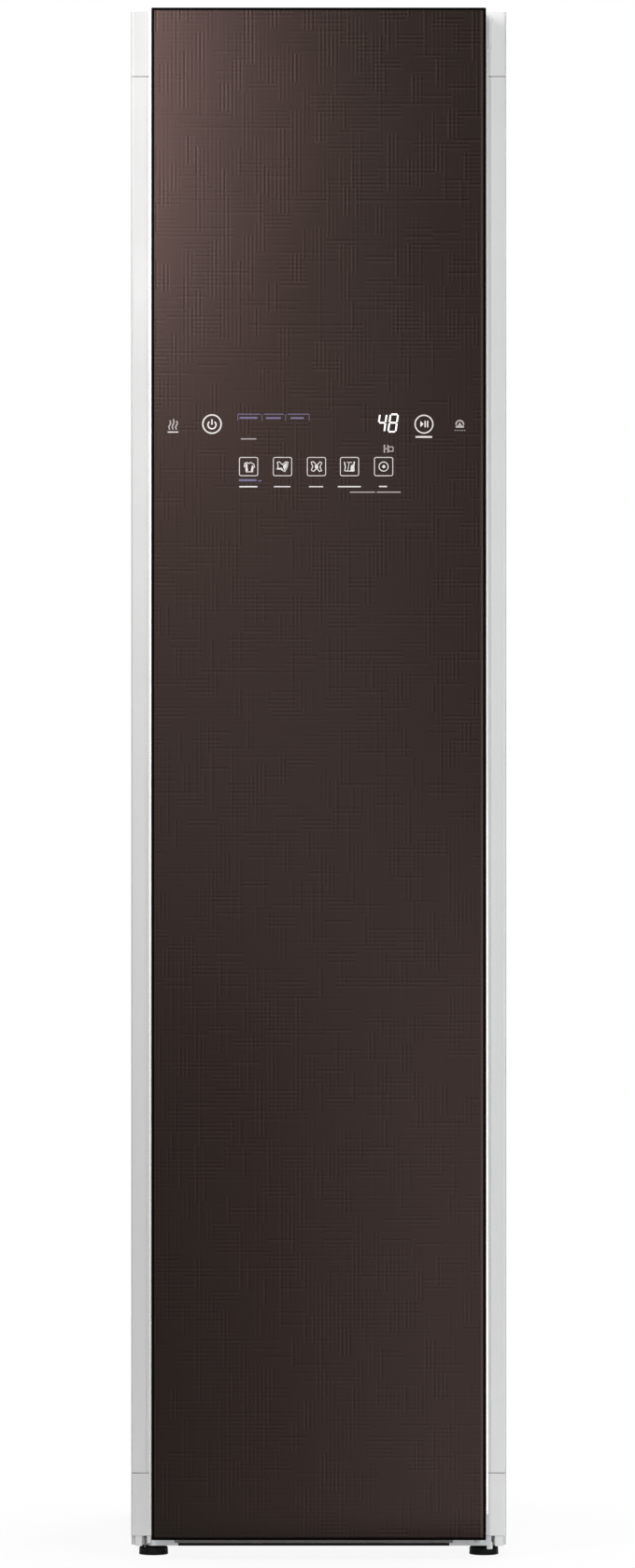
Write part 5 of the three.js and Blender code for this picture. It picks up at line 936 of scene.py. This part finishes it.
# levelling feet: a fluted disc, a six-sided neck and a threaded stem, as (radius, height)
footShape = {
    "sides": 64,
    "flutes": {"count": 16, "depth": 0.0007, "heights": (0.0040, 0.0068)},
    "disc": [(0.0002, 0.0), (0.0168, 0.0), (0.0174, 0.0005), (0.0175, 0.0012), (0.0175, 0.0022), (0.0170, 0.0025),
             (0.0170, 0.0029), (0.0175, 0.0032), (0.0175, 0.0040), (0.0175, 0.0068), (0.0172, 0.0080),
             (0.0164, 0.0091), (0.0148, 0.0101), (0.0118, 0.0108), (0.0096, 0.0112)],
    "neck": [(0.007568, 0.0110), (0.0088, 0.0113), (0.0088, 0.0113), (0.007744, 0.0117)],
    "stem": {"radius": 0.0049, "groove": 0.0005, "pitch": 0.0016, "low": 0.0114, "high": 0.0455, "tip": 0.0037,
             "sides": 20},
}


def buildFoot(name, node):
    low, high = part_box(node)
    place = Matrix.Translation(Vector(((low.x + high.x) / 2, (low.y + high.y) / 2, 0)))
    sides, flutes, stem = footShape["sides"], footShape["flutes"], footShape["stem"]
    bm = bmesh.new()
    disc = []
    for radius, height in footShape["disc"]:
        deepest = flutes["depth"] if height in flutes["heights"] else 0.0
        points = []
        for index, (x, y) in enumerate(circle(1.0, sides)):
            here = radius - deepest * (0.5 + 0.5 * math.cos(2 * math.pi * index / sides * flutes["count"]))
            points.append(place @ Vector((x * here, y * here, height)))
        disc.append(points)
    loftRings(bm, disc)
    loftRings(bm, turnedRings(footShape["neck"], 6, place), materialIndex=1)
    thread = []
    height = stem["low"]
    while height < stem["high"]:
        thread += [(stem["radius"] - stem["groove"], height), (stem["radius"], height + stem["pitch"] / 2)]
        height += stem["pitch"]
    thread.append((stem["tip"], stem["high"]))
    loftRings(bm, turnedRings(thread, stem["sides"], place), materialIndex=1)
    addPiece(name, bm, node + "_body", "foot_rubber", 40, [materials["foot_rubber"], materials["zinc"]], node)


for corner in ("front_left", "front_right", "back_left", "back_right"):
    buildFoot("fineFoot_" + corner, "foot_" + corner)


# small parts on the front, under the door and behind the pillars; a pixel reaches a little farther there
frontPlane = -0.240
spread = (photo["distance"] + frontPlane - doorFront) / photo["distance"]


def pillarX(column):
    return photoX(column) * spread


def pillarZ(row):
    return photo["cameraHeight"] + (photoZ(row) - photo["cameraHeight"]) * spread


# spans along X, Y and Z
railParts = {
    "face": ((photoX(186.0), photoX(486.0)), (-0.2393, -0.2381), (0.0153, 0.0204)),
    # the lip is a near-black strip that paints the shade on the lower half of the rail
    "lip": ((photoX(190.0), photoX(482.0)), (-0.2393, -0.2381), (0.0119, 0.0151)),
    "chamfer": 0.0003,
    "finish": {"color": (0.23, 0.212, 0.205), "second": (0.29, 0.27, 0.26), "edgeWearAndShadeColor": (0.4, 0.38, 0.37),
               "grain": 1100, "rough": (0.4, 0.5), "bump": 0.00004, "dust": 0.0,
               "shader": {"Specular IOR Level": 0.25}},
}


def buildFrontRail():
    # grey pressed rail under the door; a near-black strip along its lower edge paints the shade on the rail's lower
    # half
    finish = surfaceMaterial("railFinish", railParts["finish"])
    barPiece("frontRailFace", [railParts["face"]], railParts["chamfer"], "grey_plastic", [finish])
    barPiece("frontRailShadeStrip", [railParts["lip"]], railParts["chamfer"], "foot_rubber")


# columns and rows in pixels
bracketParts = {
    "depth": (-0.2396, -0.2382), "chamfer": 0.0003,
    "left": [(145.0, 152.2, 1643.9, 1654.4), (157.6, 161.4, 1643.9, 1651.5)],
    "right": [(530.0, 539.2, 1643.9, 1654.6), (521.4, 525.6, 1643.9, 1649.6)],
    "boss": {"columns": (521.2, 527.4), "rows": (1658.0, 1650.2), "y": (-0.2398, -0.2364), "chamfer": 0.0007},
    # a thin black threaded rod in each gap between the tabs paints the shade in that gap
    "shadeRod": {"left": 155.4, "right": 527.5, "rows": (1643.6, 1656.0), "y": -0.2379, "radius": 0.00105,
             "half": 0.0004, "head": 0.003, "sides": 12},
}


def buildBrackets():
    # folded tabs under each pillar, a thin black threaded rod in the gap between them that paints the shade in that
    # gap, and a moulded boss by the right foot
    shadeRod, boss = bracketParts["shadeRod"], bracketParts["boss"]
    radius, half = shadeRod["radius"], shadeRod["half"]
    top, bottom = (pillarZ(row) for row in shadeRod["rows"])
    profile = [(radius * 0.8, bottom), (radius, bottom + half)]
    while profile[-1][1] < top - shadeRod["head"]:
        height = profile[-1][1]
        profile += [(radius * 0.82, height + half), (radius, height + 2 * half)]
    profile += [(radius * 1.6, top - 0.0022), (radius * 1.6, top - 0.0003), (radius * 1.2, top)]
    for side in ("left", "right"):
        tabs = [softBar((pillarX(first), pillarX(last)), bracketParts["depth"], (pillarZ(low), pillarZ(high)),
                        bracketParts["chamfer"]) for first, last, high, low in bracketParts[side]]
        if side == "right":
            tabs.append(softBar([pillarX(column) for column in boss["columns"]], boss["y"],
                                [pillarZ(row) for row in boss["rows"]], boss["chamfer"]))
        addPiece("pillarTabs_" + side, lofted(tabs), "cabinet", "pillar", 30)
        place = axisPlace((pillarX(shadeRod[side]), shadeRod["y"], 0.0), (0, 0, 1))
        shank = turnedRings(profile, shadeRod["sides"], place)
        addPiece("pillarShadeRod_" + side, lofted([shank]), "cabinet", "black_paint", 40)


beads = {
    "x": (0.2012, 0.2030), "y": (-0.2405, -0.2397), "chamfer": 0.0002,
    "z": {"left": (0.0245, 1.8495), "right": (0.0495, 1.8065)},
    "cap": ((0.2003, 0.2072), (-0.2437, -0.2431), (1.8066, 1.8434)),
    "finish": {"kind": "brushingUp", "color": (0.52, 0.52, 0.515), "second": (0.60, 0.60, 0.595),
               "edgeWearAndShadeColor": (0.7, 0.7, 0.695), "grain": 420, "rough": (0.2, 0.3), "bump": 0.00001,
               "edge": {"Amount": 0.2}, "dust": 0.0, "shader": {"Metallic": 1.0}},
}


def buildBeads():
    # a polished bead on the inner edge of each pillar, and a painted cap over the hinge plate
    finish = surfaceMaterial("beadFinish", beads["finish"])
    for side, sign in (("left", -1), ("right", 1)):
        span = (sorted(sign * x for x in beads["x"]), beads["y"], beads["z"][side])
        barPiece("pillarBead_" + side, [span], beads["chamfer"], "bright_steel", [finish])
    barPiece("hingeCap", [beads["cap"]], beads["chamfer"], "pillar")


buildFrontRail()
buildBrackets()
buildBeads()
print("front rail, tabs and shadeRods")

backParts = {
    "outer": 0.2925, "pressed": 0.2911, "depths": (0.2909, 0.2923), "weld": 0.000002,
    "ribs": {"x": (0.155, 0.052), "z": 1.0405, "wide": (0.0130, 0.008), "long": 0.6465},
    "hem": {"width": 0.0110, "foot": 0.0077, "x": 0.2247, "z": (0.0125, 1.8437), "chamfer": 0.0004},
    "hoods": {"z": [0.1278 + 0.014 * index for index in range(5)], "half": (0.076, 0.0026)},
    "screws": {"x": 0.2065, "z": [0.036 + 0.223 * index for index in range(9)], "endX": (-0.105, 0.0, 0.105),
               "endZ": (0.0315, 1.822)},
}


def buildBack():
    # pressed zinc sheet with ribs, folded hems, hooded louvres and cross-head screws
    pressed, depths = backParts["pressed"], backParts["depths"]
    bm = bmesh.new()
    bm.from_mesh(nodes["back_panel"].data)
    bmesh.ops.remove_doubles(bm, verts=bm.verts[:], dist=backParts["weld"])
    for vert in bm.verts:
        if vert.co.y > backParts["outer"] - 0.0001:
            vert.co.y = pressed
    addPiece("backSheet", bm, "cabinet", "zinc", 30, replaced="back_panel")
    ribs, hem, hoods, screws = (backParts[part] for part in ("ribs", "hem", "hoods", "screws"))
    raised = [raisedBead((side * x, ribs["z"]), (wide, ribs["long"]), depths)
              for side in (-1, 1) for x, wide in zip(ribs["x"], ribs["wide"])]
    (low, high), edge = hem["z"], hem["x"]
    inner = edge - hem["width"]
    for spanX, spanZ in (((-edge, -inner), (low, high)), ((inner, edge), (low, high)),
                         ((-inner, inner), (high - hem["width"], high)), ((-inner, inner), (low, low + hem["foot"]))):
        raised.append(softBar(spanX, depths, spanZ, hem["chamfer"]))
    raised += [raisedBead((0, z), hoods["half"], depths, hoodSteps) for z in hoods["z"]]
    addPiece("backBeads", lofted(raised), "cabinet", "zinc", 35)
    places = [(side * screws["x"], pressed, z) for side in (-1, 1) for z in screws["z"]]
    places += [(x, pressed, z) for x in screws["endX"] for z in screws["endZ"]]
    screwRow("backScrews", places, (0, 1, 0))


topParts = {"depths": (1.8483, 1.8496), "x": 0.105, "y": 0.032, "half": (0.010, 0.195),
            "screws": {"x": 0.185, "y": (-0.186, 0.250), "z": 1.8484}}
ceilingScrews = {"x": 0.155, "y": (-0.157, 0.010, 0.177), "z": 1.7531}


def pairedScrews(name, row, outward):
    places = [(side * row["x"], y, row["z"]) for side in (-1, 1) for y in row["y"]]
    screwRow(name, places, outward)


def buildTop():
    # two shallow beads on the top cover, drawn upright and laid down, and a screw near each corner
    centres = [(side * topParts["x"], topParts["y"]) for side in (-1, 1)]
    upright = [raisedBead(centre, topParts["half"], topParts["depths"]) for centre in centres]
    lying = [[[(x, z, y) for x, y, z in loop] for loop in rings] for rings in upright]
    addPiece("topBeads", lofted(lying), "cabinet", "steel_sheet", 35)
    pairedScrews("topScrews", topParts["screws"], (0, 0, 1))


buildBack()
buildTop()
print("back and top details")

# inside the chamber and on the door's back
tankParts = {
    "depth": (-0.2325, -0.2316), "centreX": 0.0881, "chamfer": 0.0001,
    "mark": {"offset": 0.066, "lengths": (0.012, 0.007, 0.007), "half": 0.00045,
             "rows": [0.136 + 0.0125 * index for index in range(8)]},
    "band": {"row": 0.2285, "half": (0.074, 0.0006), "chamfer": 0.0002},
}


def buildTankMarks():
    # raised level marks and a moulded band on the front of each water tank
    mark, band, depth = tankParts["mark"], tankParts["band"], tankParts["depth"]
    wide, high = band["half"]
    for side, sign in (("left", -1), ("right", 1)):
        middle = sign * tankParts["centreX"]
        end = middle + mark["offset"]
        shells = [softBar((end - mark["lengths"][index % 3], end), depth, (row - mark["half"], row + mark["half"]),
                          tankParts["chamfer"]) for index, row in enumerate(mark["rows"])]
        shells.append(softBar((middle - wide, middle + wide), depth, (band["row"] - high, band["row"] + high),
                              band["chamfer"]))
        addPiece("tankMarks_" + side, lofted(shells), "cabinet", "pale_plastic", 30)


pressParts = {
    "centre": (-0.006, 1.030), "half": (0.1035, 0.3215), "corner": 0.0110, "face": -0.2110, "sunk": 0.0003,
    "stitch": 0.0052, "pitch": 0.0076, "wide": 0.0004, "crown": 0.7,
    # (share of the stitch's length, of its width, rise over the face)
    "shape": ((-0.5, 0.35, 0.0), (-0.32, 0.9, 0.00028), (0.0, 1.0, 0.0004), (0.32, 0.9, 0.00028), (0.5, 0.35, 0.0)),
}


def buildStitches():
    # a row of raised stitches round the cover of the press board
    sunk, face = pressParts["face"] - pressParts["sunk"], pressParts["face"]
    loop = roundedLoop(pressParts["centre"], pressParts["half"], pressParts["corner"], 0.0, 8)
    path = [Vector((x, z)) for x, _, z in loop + loop[:1]]
    shells = []
    for place, along in evenSteps(path, pressParts["pitch"])[0]:
        across = Vector((-along.y, along.x)) * pressParts["wide"]
        rings = []
        for share, wide, rise in pressParts["shape"]:
            at = place + along * pressParts["stitch"] * share
            crown = wide * pressParts["crown"]
            section = ((-wide, sunk), (-crown, face + rise), (crown, face + rise), (wide, sunk))
            rings.append([(at.x + across.x * side, depth, at.y + across.y * side) for side, depth in section])
        shells.append(rings)
    addPiece("pressStitches", lofted(shells), "press", "grey_rubber")


hangerParts = {
    "centre": (0.010, 1.698), "places": (-0.128, -0.046, 0.046, 0.128), "sides": 28,
    "inner": 0.0076, "outer": 0.0094, "half": 0.011, "round": 0.0005,
    "ribs": 6, "rib": ((0.0, 0.0), (0.0006, 0.0008), (0.0006, 0.0022), (0.0, 0.0030)),   # (depth, distance on)
}


def buildSleeves():
    # ribbed rubber sleeves on the hanger bar
    inner, outer, half, edge = (hangerParts[part] for part in ("inner", "outer", "half", "round"))
    profile = [(inner, -half), (outer - edge, -half), (outer, -half + edge)]
    for rib in range(hangerParts["ribs"]):
        start = -half + 2 * edge + rib * (2 * half - 4 * edge) / hangerParts["ribs"]
        profile += [(outer - depth, start + along) for depth, along in hangerParts["rib"]]
    profile += [(outer, half - edge), (outer - edge, half), (inner, half)]
    shells = [turnedRings(profile, hangerParts["sides"], axisPlace((x, *hangerParts["centre"]), (1, 0, 0)))
              for x in hangerParts["places"]]
    addPiece("hangerSleeves", lofted(shells), "hanger", "grey_rubber", 40)


buildTankMarks()
buildStitches()
buildSleeves()
pairedScrews("ceilingScrews", ceilingScrews, (0, 0, -1))
print("inside details")

# round pipes and a ribbed hose in the base, on the same paths as their solids
copperTube = {"radius": 0.0040, "step": 0.005, "sides": 16, "slot": "copper", "collar": (0.0049, 0.011), "rib": 0.0}
tubeRuns = {
    "suction_pipe": {
        **copperTube, "name": "suctionTube",
        "path": [(-0.147, 0.205, 0.1773), (-0.147, 0.205, 0.2073), (-0.1773, 0.145, 0.2073),
                 (-0.1733, 0.002, 0.1973), (-0.1693, -0.058, 0.1773), (-0.1693, -0.058, 0.075)]},
    "delivery_pipe": {
        **copperTube, "name": "deliveryTube",
        "path": [(-0.123, 0.205, 0.1773), (-0.123, 0.205, 0.2073), (-0.063, 0.133, 0.2253),
                 (-0.0027, 0.07, 0.2253), (-0.0027, 0.012, 0.2), (-0.0027, 0.012, 0.0764)]},
    "steam_hose": {
        "radius": 0.0110, "step": 0.0028, "sides": 20, "slot": "grey_rubber", "collar": (0.0110, 0.017),
        "rib": 0.0009, "name": "steamTube",
        "path": [(0.048, 0.042, 0.0933), (0.048, 0.042, 0.1263), (0.015, 0.0585, 0.2489),
                 (-0.062, 0.157, 0.2621), (-0.095, 0.19, 0.2786), (-0.095, 0.19, 0.3017)]},
}
curveSteps = 40


def smoothPath(points):
    # a centripetal curve through the points
    given = [Vector(point) for point in points]
    given = [given[0] * 2 - given[1]] + given + [given[-1] * 2 - given[-2]]
    fine = []
    for quad in zip(given, given[1:], given[2:], given[3:]):
        moments = [0.0]
        for first, second in zip(quad, quad[1:]):
            moments.append(moments[-1] + math.sqrt((second - first).length))
        for index in range(curveSteps):
            now = moments[1] + (moments[2] - moments[1]) * index / curveSteps
            level = quad
            for reach in (1, 2):
                shares = [(now - moments[i]) / (moments[i + reach] - moments[i]) for i in range(4 - reach)]
                level = [level[i].lerp(level[i + 1], share) for i, share in enumerate(shares)]
            fine.append(level[0].lerp(level[1], (now - moments[1]) / (moments[2] - moments[1])))
    return fine + [given[-2]]


def buildTubes():
    for node, run in tubeRuns.items():
        path = smoothPath(run["path"])
        placed, total = evenSteps(path, run["step"])
        line = [place for place, _ in placed] + path[-1:]
        collarRadius, collarLength = run["collar"]
        last = len(line) - 1
        rings, side = [], Vector((1, 0, 0))
        for index, at in enumerate(line):
            ahead = (line[min(index + 1, last)] - line[max(index - 1, 0)]).normalized()
            side = (side - ahead * side.dot(ahead)).normalized()
            up = ahead.cross(side)
            nearEnd = min(index, last - index) * total / last < collarLength
            radius = collarRadius if nearEnd else run["radius"] - run["rib"] * (index % 2)
            rings.append([at + side * x + up * y for x, y in circle(radius, run["sides"])])
        addPiece(run["name"], lofted([rings]), "cabinet", run["slot"], 50, replaced=node)
        print(node, "length", round(total, 3))


# profiles as (radius, distance from the middle)
clampParts = {
    "inset": 0.0085, "screwOut": 0.0125, "bandSides": 28, "screwSides": 12,
    "band": [(0.0104, -0.0042), (0.0113, -0.0042), (0.0119, -0.0036), (0.0115, -0.0028),
             (0.0115, 0.0028), (0.0119, 0.0036), (0.0113, 0.0042), (0.0104, 0.0042)],
    "screw": [(0.00000078, -0.00475), (0.00182, -0.00475), (0.0026, -0.00418), (0.0026, -0.00285),
              (0.00208, -0.00266), (0.00208, 0.00285), (0.0026, 0.00304), (0.0026, 0.00475), (0.00000078, 0.00475)],
}


def buildClamps():
    # a steel band with its worm screw on each end of the hose
    path = tubeRuns["steam_hose"]["path"]
    shells = []
    for (x, y, z), inward in ((path[0], 1), (path[-1], -1)):
        middle = z + inward * clampParts["inset"]
        bandPlace = axisPlace((x, y, middle), (0, 0, 1))
        screwPlace = axisPlace((x, y - clampParts["screwOut"], middle), (1, 0, 0))
        shells.append(turnedRings(clampParts["band"], clampParts["bandSides"], bandPlace))
        shells.append(turnedRings(clampParts["screw"], clampParts["screwSides"], screwPlace))
    addPiece("hoseClamps", lofted(shells), "cabinet", "bright_steel", 35)


buildTubes()
buildClamps()
print("pipes and hose")
